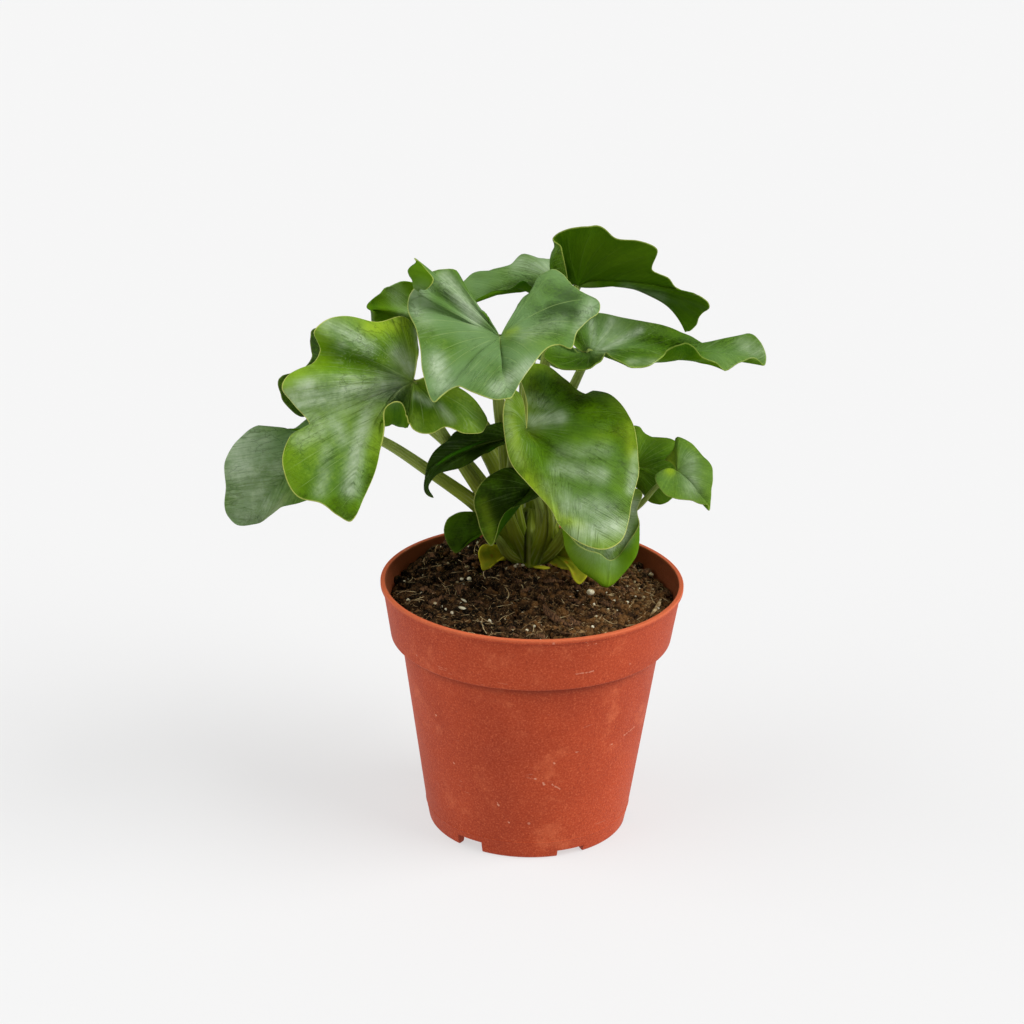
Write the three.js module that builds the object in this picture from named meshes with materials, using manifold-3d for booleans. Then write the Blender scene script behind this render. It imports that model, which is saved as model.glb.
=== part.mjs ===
// A young atom philodendron in a terracotta-coloured plastic nursery pot.
// Millimetres, +Z up. The origin is the centre of the pot's underside, on the table, and -Y faces the viewer.
// Every leaf is a blade of its own on a stalk of its own. The stalks stand on one short crown in the soil.
import * as THREE from "three";
import { mergeVertices } from "three/addons/utils/BufferGeometryUtils.js";
import Module from "manifold-3d";

const wasm = await Module();
wasm.setup();

// Driving dimensions
const GAP = 0.3; // clearance between touching pieces
const POT = {
  height: 93,
  rimRadius: 54.2,
  lipDrop: 1.6,
  lipRound: 0.35,
  bandTopRadius: 53.35,
  bandFootRadius: 50.4,
  bandHeight: 20.6,
  bandRound: 0.7,
  stepLift: 0.6,
  shoulderRadius: 46.8,
  parting: 6.7,
  footRadius: 36.4,
  footRound: 0.8,
  footWidth: 3.2,
  footSlant: 0.6,
  wall: 1,
  floorLift: 3.2,
  padRadius: 8,
  padSlant: 0.8,
  notches: 6,
  notchWidth: 10.4,
  notchHeights: [2.5, 4.3],
  notchTurn: -64.5,
  drainRadius: 3.2,
  drainRing: 21,
};
const SOIL = { level: 86, edgeDrop: 3, trim: 0.2, sides: 44 };
// Where the soil is heaped: round the plant, and against the pot's back wall on the left
const HEAPS = [
  { x: -0.4, y: 27.5, height: 4.5, reach: 19 },
  { x: -33, y: 38, height: 5, reach: 20 },
];
// Clods: waves over the soil, each with its height, its run in x and y, and its shift
const CLODS = [
  { height: 0.28, x: 0.2, y: 0.44, shift: 0 },
  { height: 0.28, x: 0.42, y: -0.1, shift: 0 },
  { height: 0.44, x: 0.71, y: -0.45, shift: 1.3 },
  { height: 0.33, x: 0.52, y: 0.93, shift: 1.57 },
];
const SOIL_RINGS = [0.97, 0.86, 0.74, 0.62, 0.5, 0.38, 0.25, 0.12]; // shares of the soil's radius
const CROWN = {
  x: -0.4,
  y: 27.5,
  radius: 8.2,
  waist: 91,
  ribs: 7,
  levels: [
    { radius: 6.2, height: 66, relief: 0 },
    { radius: 8.2, height: 80, relief: 0 },
    { radius: 8.2, height: 91, relief: 0.05 },
    { radius: 10.2, height: 99, relief: 0.08 },
    { radius: 8.8, height: 104, relief: 0.1 },
    { radius: 4.3, height: 110, relief: 0.1 },
  ],
};
const BLADE = { thickness: 0.8, rings: 4, keel: 2.4, fan: 2, evening: 3 };
const STALK = {
  sides: 8,
  step: 11,
  leastSteps: 5,
  root: 0.6, // how far out of the crown's axis a stalk starts, as a share of the crown's radius
  taper: 0.85,
  flare: 1.35,
  flareEnd: 0.4,
  trim: 0.2,
  foot: { base: 2.3, perMm: 0.019, least: 2.5, most: 3.7 },
  tip: { base: 0.7, perMm: 0.0075, least: 0.95, most: 1.45 },
};
const SIDES = { pot: 48, drain: 12 }; // of a full turn

// The viewer stands 0.9 m away and looks down by 21 degrees at a point above the pot.
const VIEW = { distance: 900, pitch: 21.2, roll: 1.05, focal: 2542, centre: 512, aim: [-7.6, 0, 118.6] };

// A point of the plant from where the viewer sees it, across and down a square view of 1024 by 1024, and from
// its depth y
function sight([across, down, depth]) {
  const pitch = THREE.MathUtils.degToRad(VIEW.pitch);
  const roll = THREE.MathUtils.degToRad(VIEW.roll);
  const u = across - VIEW.centre;
  const v = down - VIEW.centre;
  const right = u * Math.cos(roll) + v * Math.sin(roll);
  const below = -u * Math.sin(roll) + v * Math.cos(roll);
  const forward = new THREE.Vector3(0, Math.cos(pitch), -Math.sin(pitch));
  const up = new THREE.Vector3(0, Math.sin(pitch), Math.cos(pitch));
  const eye = new THREE.Vector3(...VIEW.aim).addScaledVector(forward, -VIEW.distance);
  const ray = forward.clone().multiplyScalar(VIEW.focal).addScaledVector(up, -below);
  ray.x += right;
  return eye.addScaledVector(ray, (depth - eye.y) / ray.y);
}

// The leaves. joint is where the stalk meets the blade, and rim runs from one side of the notch there, round
// the blade, to its other side, anticlockwise on the upper face. Each point is across, down and depth, as in
// sight(). Three more numbers on a rim point pull the blade outwards first, so that its margin rolls over.
// tip counts the rim's points up to the blade's own tip, where the midrib, sunk by the keel, comes out.
// bow is how far the blade arches in mm, and stalk the way up to the joint. slim thins a stalk.
const LEAVES = [
  {
    "name": "left", "joint": [413, 382, -14], "tip": 18, "bow": 4, "rings": 5,
    "stalk": [[490, 505, 13], [462, 463, 0], [428, 410, -5]],
    "rim": [
      [418, 350, -10], [415, 327, -6], [403, 317, -6], [376, 322, -12], [348, 316.5, -16], [328, 319, -20],
      [314, 331, -23], [320, 350, -18], [313, 363, -21], [290, 373, -29], [281.5, 387, -32], [293, 404, -30],
      [309, 425, -30, 355, 404, -24], [289, 438, -36, 350, 405, -22], [282.5, 465, -42, 345, 408, -24],
      [297, 496, -45, 343, 410, -25], [322, 504, -47, 345, 412, -26], [337, 515, -49, 349, 413, -27],
      [351, 521.5, -52, 353, 414, -28], [364, 498, -46, 360, 412, -26], [377, 466, -38, 369, 408, -24],
      [382, 430, -30, 378, 402, -21], [385, 408, -30, 378, 452, -22], [393, 402.5, -31, 384, 452, -22],
      [400, 402.3, -31, 393, 458, -22], [406, 411, -30, 402, 452, -22], [408, 419, -29, 407, 446, -21],
      [411, 427, -28], [419, 433, -27], [432, 433.5, -26], [446, 427, -23], [466, 433.5, -18],
      [484, 431, -13], [486, 415, -8], [465, 393, -9], [430, 376, -12]
    ]
  },
  {
    "name": "centre", "joint": [500, 337.5, -12], "tip": 23, "bow": 4, "keel": 1, "rings": 5,
    "stalk": [[508, 480, 17], [504, 440, 13], [499, 405, 7], [497, 370, -2]],
    "rim": [
      [483, 320, -9, 497, 336, -12], [473, 303, -4], [463, 284, 1], [456, 271, 4], [438, 269.5, 5],
      [430.5, 272, 3], [423, 268, 2], [415, 257.5, 1], [424.5, 268, -9, 372, 262, -4],
      [434, 280, -12, 368, 268, -8], [427, 289, -12, 380, 277, -9], [416, 287, -7, 440, 309, -9],
      [409.5, 295, -6, 446, 315, -10], [407.5, 309, -9], [415, 326, -17], [420, 348, -24], [422.5, 372, -32],
      [434, 403, -41], [447, 392, -39], [459, 387, -38], [474, 393, -40], [492, 398.5, -42], [503, 399, -42],
      [510, 397.5, -41, 491.5, 362.7, -26], [522, 380, -34], [535, 362, -28], [547, 348.5, -23],
      [560, 346, -20], [571, 348.5, -20], [577, 333, -12], [590, 319, -6], [600, 310, -1], [598.5, 300, 2],
      [583, 291.5, 4], [572, 286, 5], [565, 276, 7], [552, 269.7, 7], [538, 278.5, 5], [530, 292, 1],
      [519, 301.5, -2], [517, 310, -3], [511.5, 319.5, -6, 522, 334, -9]
    ]
  },
  {
    "name": "front", "joint": [526, 430, -6], "tip": 10, "bow": 7, "keel": 0, "rings": 5,
    "stalk": [[546, 525, 13], [542, 480, 4], [533, 450, 0]],
    "rim": [
      [518, 392, -8], [510, 388, -11], [503.5, 406, -15], [503.3, 427, -16], [511, 463, -20], [527, 483, -24],
      [552, 511.5, -30], [559, 525, -32], [575, 540, -35], [592, 548, -36], [606, 549.5, -35],
      [620, 542, -32], [628, 524.5, -27], [631, 506, -23], [638, 480, -15], [638, 453, -6], [632, 421, 4],
      [617, 399, 9], [597, 391.3, 12], [588, 393.5, 11], [566, 380, 14], [546, 366, 17], [531, 365, 16],
      [521, 382, 10]
    ]
  },
  {
    "name": "back_right", "joint": [578, 284.5, 34], "tip": 14, "bow": 3,
    "stalk": [[545, 500, 27], [543, 430, 30], [545, 362, 31], [560, 318, 35]],
    "rim": [
      [568, 284, 26, 556, 286, 38], [565, 265, 17, 532, 272, 38], [560, 248, 16, 536, 250, 34],
      [552.3, 238, 20], [565, 230, 19], [585, 226, 19], [600, 226.5, 21], [617, 239, 24], [640, 241, 22],
      [657, 249, 21], [653, 269.5, 28], [668, 278, 27], [680, 290.3, 29], [700, 296, 27],
      [710, 305.8, 28, 644, 272, 31], [700, 316, 33, 651, 273.5, 32], [696, 326, 36, 657, 275, 33.5],
      [690, 331, 38, 663, 276.5, 35], [684.8, 332.5, 39, 666, 282, 36]
    ]
  },
  {
    "name": "right", "joint": [590, 351.5, 10], "tip": 22, "bow": -4, "rings": 5,
    "stalk": [[552, 488, 25], [561, 415, 23], [574, 384, 18]],
    "rim": [
      [572, 345, 10], [556, 343, 9], [543, 356, 1], [558, 368, -7], [578, 369, -11], [593, 366, -11],
      [602, 359, -8, 595, 358, 1], [606, 352, -5, 600, 357, 2], [614, 360, -11, 603, 356, 0],
      [632, 367.3, -14, 612, 356, -1], [647, 367, -13, 622, 356, -1], [659, 359, -9, 634, 356, -1],
      [667, 351, -6, 650, 356, -3], [678, 344.5, -6, 671, 371, -3], [688.5, 343, -5, 687, 375, -2.5],
      [696, 349.5, -5, 694, 367, -1.5], [704, 357, -6, 690, 362, 0], [718, 363.5, -6, 690, 359, 1],
      [726, 370, -7, 680, 351, 2.5], [739, 363, -3, 676, 347, 4], [752, 357.8, 1, 676, 345, 5],
      [759, 360, 1, 678, 344, 6], [764.5, 365.5, 1, 680, 345, 6.8], [766, 355, 5, 682, 346, 8], [760, 341, 9],
      [750.5, 333, 12], [730, 340, 13], [708, 343.3, 15], [690, 335.5, 23], [670, 328, 29],
      [632, 319.5, 36], [602, 312.5, 35], [586, 313, 31], [573, 323, 25], [569, 339, 15]
    ]
  },
  {
    "name": "back", "joint": [556, 283, 38], "tip": 10, "bow": 4,
    "stalk": [[534, 490, 29], [527, 410, 34], [535, 335, 37]],
    "rim": [
      [571, 274, 48], [562, 263, 50], [545, 260.5, 49], [532, 257, 47], [521, 254.8, 46], [510, 266, 42],
      [490, 270.3, 40], [476, 272, 38], [463.5, 281.5, 34], [455, 293, 29], [452, 304, 25], [463, 307.5, 25],
      [478, 299.5, 27], [493, 291.5, 29], [507, 290.3, 29], [515, 286, 27, 520, 296, 30],
      [523, 280, 26, 527, 307, 30], [529.5, 285.5, 27, 535, 304, 31], [535, 295, 30], [547, 297, 32]
    ]
  },
  {
    "name": "back_left", "joint": [434, 318, 24], "tip": 4, "bow": 3,
    "stalk": [[500, 480, 24], [472, 425, 22], [447, 370, 25]],
    "rim": [
      [424, 333, 25], [402, 330, 22], [377, 323, 11, 362, 322, 22], [375, 312, 9, 357, 309, 20],
      [367, 306, 13], [378, 295.5, 15], [387, 287.5, 16], [398, 283, 17], [411, 282, 19], [428, 289, 24],
      [444, 301, 28]
    ]
  },
  {
    "name": "low_left", "joint": [330, 430, -6], "tip": 11, "bow": 5,
    "stalk": [[486, 515, 14], [474, 502, 9], [430, 471, 5], [383, 441, 1], [350, 429, -2]],
    "rim": [
      [338, 414, -2], [322, 410, -4], [307, 418.5, -6], [289, 430, -8], [270, 429, -9], [255, 426.5, -9],
      [238, 440, -12], [224.7, 463, -16], [225.8, 488, -20], [224.5, 507, -22], [229, 518, -23],
      [238, 525.3, -24], [256, 524, -23], [274, 514.5, -19], [283, 507, -17], [299, 503.5, -14],
      [318, 494, -10], [338, 476, -6], [346, 452, -1]
    ]
  },
  {
    "name": "left_rear", "joint": [364, 388, 16], "tip": 9, "bow": 4,
    "stalk": [[487, 490, 22], [445, 440, 20], [405, 411, 22], [382, 399, 20]],
    "rim": [
      [374, 369, 22], [358, 344, 23], [334, 330, 17], [313, 329, 10], [309.5, 341, 5], [312, 354, 2],
      [306, 366, -2], [289, 373.5, -7], [278.3, 379, -9], [280, 394, -11], [288, 406.5, -11],
      [296, 414.5, -9], [306, 415.5, -4], [328, 418, 3], [352, 416, 9], [375, 405, 13]
    ]
  },
  {
    "name": "inner_left", "joint": [513, 437, 1], "tip": 8, "bow": 3,
    "stalk": [[507, 510, 13], [511, 467, 6]],
    "rim": [
      [515, 425, 4], [500, 422, 3], [478, 428, 0], [457, 432, -3], [444, 444, -8], [431, 456, -13],
      [425.5, 470, -16], [425, 487, -19, 420, 445, -15], [427, 495, -21, 411, 450, -16],
      [433.5, 498, -21, 402, 455, -16], [428.5, 487, -18, 412, 456, -15], [439, 473.5, -15, 452, 457, -11],
      [464, 466.5, -10], [478, 457, -7], [491, 449.5, -4], [508, 443, 0]
    ]
  },
  {
    "name": "inner_front", "joint": [532, 488, -3], "tip": 9, "bow": 4,
    "stalk": [[541, 533, 16], [540, 508, 7]],
    "rim": [
      [534, 476, 1], [520, 469, -2], [505, 468.5, -5], [490, 474.5, -9], [478, 487.5, -12], [473.3, 503, -13],
      [477, 517, -14], [480.5, 530, -15], [485.5, 540, -16], [491, 546, -17], [495.5, 536, -16],
      [500, 521, -15], [508, 510, -13], [523, 504, -11], [540, 496, -6]
    ]
  },
  {
    "name": "low_inner_left", "joint": [487, 527, 8], "tip": 7, "bow": 2,
    "stalk": [[508, 553, 18], [499, 540, 13]],
    "rim": [
      [484, 517, 6], [476, 512, 3], [461, 512, 1], [449, 518, -1], [444, 530, -2], [446, 540, -2],
      [451, 549, -1], [456, 553, -1], [465, 545, 1], [480, 532.5, 5]
    ]
  },
  {
    "name": "low_front", "joint": [598, 500, -4], "tip": 5, "bow": 2, "rings": 6,
    "stalk": [[556, 545, 16], [570, 525, 5]],
    "rim": [
      [576, 504, -5], [565, 518, -11, 562, 520, -9], [572, 538, -17, 546, 550, -14],
      [586, 549, -19, 560, 594, -22], [599, 553, -19, 586, 622, -28], [609, 560, -18, 608, 634, -30],
      [618, 556, -16, 632, 612, -27], [630, 539, -14, 652, 580, -20], [639, 523, -10, 642, 545, -12],
      [637, 510, -6], [642.5, 493, -3], [632, 487, 0]
    ]
  },
  {
    "name": "far_right", "joint": [634, 467, 12], "tip": 6, "bow": 4,
    "stalk": [[560, 545, 28], [590, 520, 20]],
    "rim": [
      [630, 482, 11], [641, 494, 11], [650, 503, 9], [660, 505, 8], [670, 499.5, 9], [680, 489, 9],
      [686, 474, 11], [683, 452, 17], [676, 441, 20], [660, 436, 22], [649, 435, 22], [640, 426, 22],
      [630, 426, 21], [622, 446, 17]
    ]
  },
  {
    "name": "right_low", "joint": [677, 471.5, -2], "tip": 8, "bow": 3, "slim": 0.6,
    "stalk": [[560, 544, 20], [600, 528, 9], [637, 507, 4], [658, 485, 2]],
    "rim": [
      [662, 471.5, -4], [655.3, 475, -8], [656, 483, -11], [666, 495.8, -15], [676, 498.5, -16],
      [690, 500, -15], [702, 504.3, -14], [708, 505.5, -14], [709.8, 510, -14], [711.5, 496, -10],
      [712.3, 481, -5], [711.3, 464, 2], [700, 453, 6], [689, 441.5, 8], [678, 437, 8], [674, 448, 10],
      [665, 461, 8]
    ]
  }
];

// Old leaf bases that lean out of the crown onto the soil, drawn as the leaves are
const SHEATHS = [
  {
    "name": "left", "joint": [507, 553, 25], "bow": 1.5,
    "rim": [
      [500, 545, 23], [490, 544.5, 22], [481, 546, 20.5], [478, 553, 19], [480, 563, 18.5],
      [482.5, 570.5, 18], [491, 566, 19], [499, 561, 20.5], [505, 561, 22]
    ]
  },
  {
    "name": "right", "joint": [549, 553, 24], "bow": 1.5,
    "rim": [
      [548, 562, 21], [554, 565.5, 18.5], [562, 569, 15], [570.5, 571, 12, 563, 560, 17],
      [573, 579, 8, 573, 559, 14], [579.5, 584, 6, 577, 560, 13],
      [586.5, 578, 8], [588.5, 568, 12], [580, 558, 15.5], [569, 547, 19], [558, 538.5, 22], [550, 543, 24]
    ]
  }
];

// Leaves behind the others, by formula: joint and stalk in mm, heading in degrees (90 is away from the
// viewer), droop below the horizontal, length and width of the blade
const REAR_LEAVES = [
  {
    "name": "rear", "joint": [9, 60, 122], "heading": 84, "droop": 40,
    "length": 42, "width": 44, "tip": 9, "bow": 4, "stalk": [[3, 40, 104], [7, 51, 115]]
  },
  {
    "name": "rear_left", "joint": [-36, 54, 150], "heading": 138, "droop": 28,
    "length": 42, "width": 42, "tip": 9, "bow": 4, "stalk": [[-5, 38, 109], [-18, 47, 134]]
  },
  {
    "name": "rear_right", "joint": [20, 50, 141], "heading": 56, "droop": 42,
    "length": 36, "width": 34, "tip": 9, "bow": 4, "stalk": [[5, 36, 112], [12, 43, 128]]
  },
  {
    "name": "rear_high", "joint": [-4, 52, 164], "heading": 88, "droop": 26,
    "length": 42, "width": 44, "tip": 9, "bow": 4, "stalk": [[-2, 37, 113], [-4, 45, 141]]
  },
];

// Reach of a heart-shaped blade from its joint, as a share of its length: tip at 0 degrees, notch at 180.
const HEART = [0.555, 0.188, 0.055, 0.202];
const REAR = { points: 19, spread: 162, waves: 7, waveHeight: 2, sag: 0.009 };

// The waved rim of a rear leaf, whose axis points along heading and droops.
function rearRim({ joint, heading, droop, length, width }) {
  const turn = THREE.MathUtils.degToRad(heading);
  const dip = THREE.MathUtils.degToRad(droop);
  const level = Math.cos(dip);
  const along = new THREE.Vector3(Math.cos(turn) * level, Math.sin(turn) * level, -Math.sin(dip));
  const side = new THREE.Vector3(-Math.sin(turn), Math.cos(turn), 0);
  const face = new THREE.Vector3().crossVectors(along, side);
  return Array.from({ length: REAR.points }, (_, i) => {
    const angle = THREE.MathUtils.degToRad(REAR.spread * ((2 * i) / (REAR.points - 1) - 1));
    const reach = HEART.reduce((sum, share, k) => sum + share * Math.cos(k * angle), 0);
    const out = reach * length * Math.cos(angle);
    const across = reach * width * Math.sin(angle);
    const wave = REAR.waveHeight * Math.cos(REAR.waves * angle) - REAR.sag * across * across;
    return new THREE.Vector3(...joint)
      .addScaledVector(along, out)
      .addScaledVector(side, across)
      .addScaledVector(face, wave);
  });
}

// Solids from geometry, and back again
function solidOf(geometry) {
  geometry.deleteAttribute("normal");
  geometry.deleteAttribute("uv");
  const merged = mergeVertices(geometry, 1e-4);
  const index = merged.index.array;
  const triVerts = [];
  for (let i = 0; i < index.length; i += 3) {
    const [a, b, c] = [index[i], index[i + 1], index[i + 2]];
    if (a !== b && b !== c && a !== c) triVerts.push(a, b, c);
  }
  return new wasm.Manifold(
    new wasm.Mesh({
      numProp: 3,
      vertProperties: new Float32Array(merged.attributes.position.array),
      triVerts: new Uint32Array(triVerts),
    }),
  );
}

function surface(points, triangles) {
  const geometry = new THREE.BufferGeometry().setFromPoints(points);
  geometry.setIndex(triangles);
  return geometry;
}

function largestBody(solid) {
  const bodies = solid.decompose();
  return bodies.reduce((best, body) => (body.volume() > best.volume() ? body : best));
}

function meshOf(name, solid, material) {
  const { vertProperties, triVerts } = solid.getMesh();
  const geometry = new THREE.BufferGeometry();
  geometry.setAttribute("position", new THREE.BufferAttribute(new Float32Array(vertProperties), 3));
  geometry.setIndex(new THREE.BufferAttribute(new Uint32Array(triVerts), 1));
  geometry.computeVertexNormals();
  const mesh = new THREE.Mesh(geometry, material);
  mesh.name = name;
  return mesh;
}

// A closed body of revolution about Z from a profile of [radius, height].
function turned(profile, sides) {
  const points = profile.map(([radius, height]) => new THREE.Vector2(radius, height));
  return solidOf(new THREE.LatheGeometry(points, sides).rotateX(Math.PI / 2));
}

// A closed body through rings of points, one above the other, each anticlockwise seen from the last one.
function skinned(rings) {
  const sides = rings[0].length;
  const points = rings.flat();
  const triangles = [];
  for (let r = 0; r + 1 < rings.length; r++)
    for (let i = 0; i < sides; i++) {
      const a = r * sides + i;
      const b = r * sides + ((i + 1) % sides);
      triangles.push(a, b, b + sides, a, b + sides, a + sides);
    }
  for (let i = 1; i + 1 < sides; i++) {
    const top = points.length - sides;
    triangles.push(0, i + 1, i, top, top + i, top + i + 1);
  }
  return solidOf(surface(points, triangles));
}

// Pot
const BAND_FOOT = POT.height - POT.bandHeight;

function wallRadius(height) {
  return POT.footRadius + ((POT.shoulderRadius - POT.footRadius) * height) / BAND_FOOT;
}

function potSolid() {
  const p = POT;
  const innerFloor = p.floorLift + p.wall;
  const lipFoot = p.height - p.lipDrop;
  const outside = [
    [0, 0], [p.padRadius, 0], [p.padRadius + p.padSlant, p.floorLift],
    [p.footRadius - p.footWidth - p.footSlant, p.floorLift], [p.footRadius - p.footWidth, 0],
    [p.footRadius - p.footRound, 0], [wallRadius(p.footRound), p.footRound],
    [wallRadius(p.parting), p.parting], [p.shoulderRadius, BAND_FOOT],
    [p.bandFootRadius - p.bandRound, BAND_FOOT], [p.bandFootRadius, BAND_FOOT + p.bandRound],
    [p.bandTopRadius, lipFoot], [p.rimRadius - p.lipRound, lipFoot], [p.rimRadius, lipFoot + p.lipRound],
    [p.rimRadius, p.height - p.lipRound], [p.rimRadius - p.lipRound, p.height],
  ];
  const inside = [
    [p.bandTopRadius - p.wall + p.lipRound, p.height], [p.bandTopRadius - p.wall, p.height - p.lipRound],
    [p.bandFootRadius - p.wall, BAND_FOOT + p.wall + p.stepLift],
    [p.shoulderRadius - p.wall, BAND_FOOT + p.wall],
    [wallRadius(innerFloor) - p.wall, innerFloor], [0, innerFloor],
  ];
  let pot = turned([...outside, ...inside], SIDES.pot);
  for (let i = 0; i < p.notches; i++) {
    const turn = THREE.MathUtils.degToRad(p.notchTurn + (360 * i) / p.notches);
    const notch = new THREE.BoxGeometry(p.footWidth * 3, p.notchWidth, 2 * p.notchHeights[i % 2])
      .translate(p.footRadius, 0, 0)
      .rotateZ(turn);
    const drain = new THREE.CylinderGeometry(p.drainRadius, p.drainRadius, 4 * innerFloor, SIDES.drain)
      .rotateX(Math.PI / 2)
      .translate(p.drainRing, 0, 0)
      .rotateZ(turn);
    pot = pot.subtract(solidOf(notch)).subtract(solidOf(drain));
  }
  return pot;
}

// Soil
function soilHeight(x, y) {
  const heaps = HEAPS.map((heap) => {
    const away = Math.hypot(x - heap.x, y - heap.y) / heap.reach;
    return heap.height * Math.exp(-away * away);
  });
  const clods = CLODS.map((clod) => clod.height * Math.sin(clod.x * x + clod.y * y + clod.shift));
  return [...heaps, ...clods].reduce((sum, rise) => sum + rise, SOIL.level);
}

function soilSolid() {
  const p = POT;
  const floor = p.floorLift + p.wall + GAP;
  const shoulder = BAND_FOOT - GAP;
  const step = BAND_FOOT + p.wall + p.stepLift + GAP;
  const edgeHeight = SOIL.level - SOIL.edgeDrop;
  const clear = p.wall + GAP;
  const slope = (p.bandTopRadius - p.bandFootRadius) / p.bandHeight;
  const edge = p.bandFootRadius - clear - GAP + slope * (edgeHeight - BAND_FOOT);
  const ring = (radius, heightAt) =>
    Array.from({ length: SOIL.sides }, (_, i) => {
      const turn = (2 * Math.PI * i) / SOIL.sides;
      const x = radius * Math.cos(turn);
      const y = radius * Math.sin(turn);
      return new THREE.Vector3(x, y, heightAt(x, y));
    });
  const rings = [
    ring(wallRadius(floor) - clear, () => floor),
    ring(wallRadius(shoulder) - clear - SOIL.trim, () => shoulder),
    ring(p.shoulderRadius - clear - SOIL.trim, () => step),
    ring(p.bandFootRadius - clear - GAP, () => step + p.stepLift),
    ring(edge, () => edgeHeight),
  ];
  for (const share of SOIL_RINGS) rings.push(ring(edge * share, soilHeight));
  return skinned(rings);
}

// Crown: the short stem that the stalks stand on, wrapped in their flared bases, which show as its ribs
function crownSolid(extra) {
  const c = CROWN;
  const sides = 4 * c.ribs;
  const [foot, top] = [c.levels[0], c.levels.at(-1)];
  const rings = c.levels.map((level) =>
    Array.from({ length: sides }, (_, i) => {
      const turn = (2 * Math.PI * i) / sides;
      const reach = level.radius * (1 + level.relief * Math.cos(c.ribs * turn)) + extra;
      const height = level.height + (level === top ? extra : 0) - (level === foot ? extra : 0);
      return new THREE.Vector3(c.x + reach * Math.cos(turn), c.y + reach * Math.sin(turn), height);
    }),
  );
  return skinned(rings);
}

// Angles in rising order, each at least one step past the last: those that run back are evened out.
function inOrder(angles, step) {
  const runs = [];
  angles.forEach((angle, i) => {
    let run = { sum: angle - i * step, count: 1 };
    while (runs.length && runs.at(-1).sum / runs.at(-1).count > run.sum / run.count) {
      const last = runs.pop();
      run = { sum: run.sum + last.sum, count: run.count + last.count };
    }
    runs.push(run);
  });
  const level = runs.flatMap(({ sum, count }) => Array(count).fill(sum / count));
  return level.map((angle, i) => angle + i * step);
}

// Blade: spokes run from the joint to the rim, arched by bow or pulled out by a rolled margin. They leave the
// joint fanned out in order, also where the margin doubles back.
function bladeCurves(leaf) {
  const joint = leaf.rim ? sight(leaf.joint) : new THREE.Vector3(...leaf.joint);
  const rim = leaf.rim ? leaf.rim.map((p) => sight(p)) : rearRim(leaf);
  const spokes = rim.map((point) => point.clone().sub(joint));
  const face = new THREE.Vector3();
  for (let i = 0; i + 1 < rim.length; i++) face.add(spokes[i].clone().cross(spokes[i + 1]));
  face.normalize();
  const ahead = spokes[0].clone().addScaledVector(face, -face.dot(spokes[0])).normalize();
  const aside = face.clone().cross(ahead);
  const pulls = rim.map((point, i) => {
    const rolled = leaf.rim && leaf.rim[i].length > 3;
    return rolled ? sight(leaf.rim[i].slice(3)).sub(joint) : spokes[i].clone().multiplyScalar(0.5);
  });
  const headings = [];
  for (const pull of pulls) {
    const heading = Math.atan2(pull.dot(aside), pull.dot(ahead));
    const turns = Math.round((heading - (headings.at(-1) ?? 0)) / (2 * Math.PI));
    headings.push(heading - 2 * Math.PI * turns);
  }
  inOrder(headings, THREE.MathUtils.degToRad(BLADE.fan)).forEach((heading, i) => {
    pulls[i].applyAxisAngle(face, heading - headings[i]).add(joint);
    const arch = leaf.bow - (i === leaf.tip ? leaf.keel ?? BLADE.keel : 0);
    if (!leaf.rim || leaf.rim[i].length <= 3) pulls[i].addScaledVector(face, arch);
  });
  return { joint, rim: new THREE.CatmullRomCurve3(rim), pull: new THREE.CatmullRomCurve3(pulls) };
}

function bladePoint({ joint, rim, pull }, turn, reach) {
  const point = joint.clone().multiplyScalar((1 - reach) ** 2);
  point.addScaledVector(pull.getPoint(turn), 2 * reach * (1 - reach));
  return point.addScaledVector(rim.getPoint(turn), reach * reach);
}

// The blade's middle surface, its upward normals and its border, all round
function bladeSkin(leaf) {
  const curves = bladeCurves(leaf);
  const spokes = curves.rim.points.length;
  const rings = leaf.rings ?? BLADE.rings;
  const middle = [curves.joint.clone()];
  for (let s = 0; s < spokes; s++)
    for (let r = 1; r <= rings; r++) middle.push(bladePoint(curves, s / (spokes - 1), r / rings));
  const at = (s, r) => (r ? 1 + s * rings + r - 1 : 0);
  const faces = [];
  for (let s = 0; s + 1 < spokes; s++) {
    faces.push([0, at(s, 1), at(s + 1, 1)]);
    for (let r = 1; r < rings; r++) {
      faces.push([at(s, r), at(s, r + 1), at(s + 1, r + 1)]);
      faces.push([at(s, r), at(s + 1, r + 1), at(s + 1, r)]);
    }
  }
  const border = [];
  for (let r = 0; r < rings; r++) border.push(at(0, r));
  for (let s = 0; s < spokes; s++) border.push(at(s, rings));
  for (let r = rings - 1; r > 0; r--) border.push(at(spokes - 1, r));
  const skin = surface(middle, faces.flat());
  skin.computeVertexNormals();
  let normals = middle.map((_, i) => new THREE.Vector3().fromBufferAttribute(skin.getAttribute("normal"), i));
  for (let pass = 0; pass < BLADE.evening; pass++) {
    const sums = normals.map((normal) => normal.clone());
    for (const face of faces)
      for (const a of face) for (const b of face) if (a !== b) sums[a].add(normals[b]);
    normals = sums.map((sum) => sum.normalize());
  }
  return { middle, normals, faces, border };
}

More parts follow.
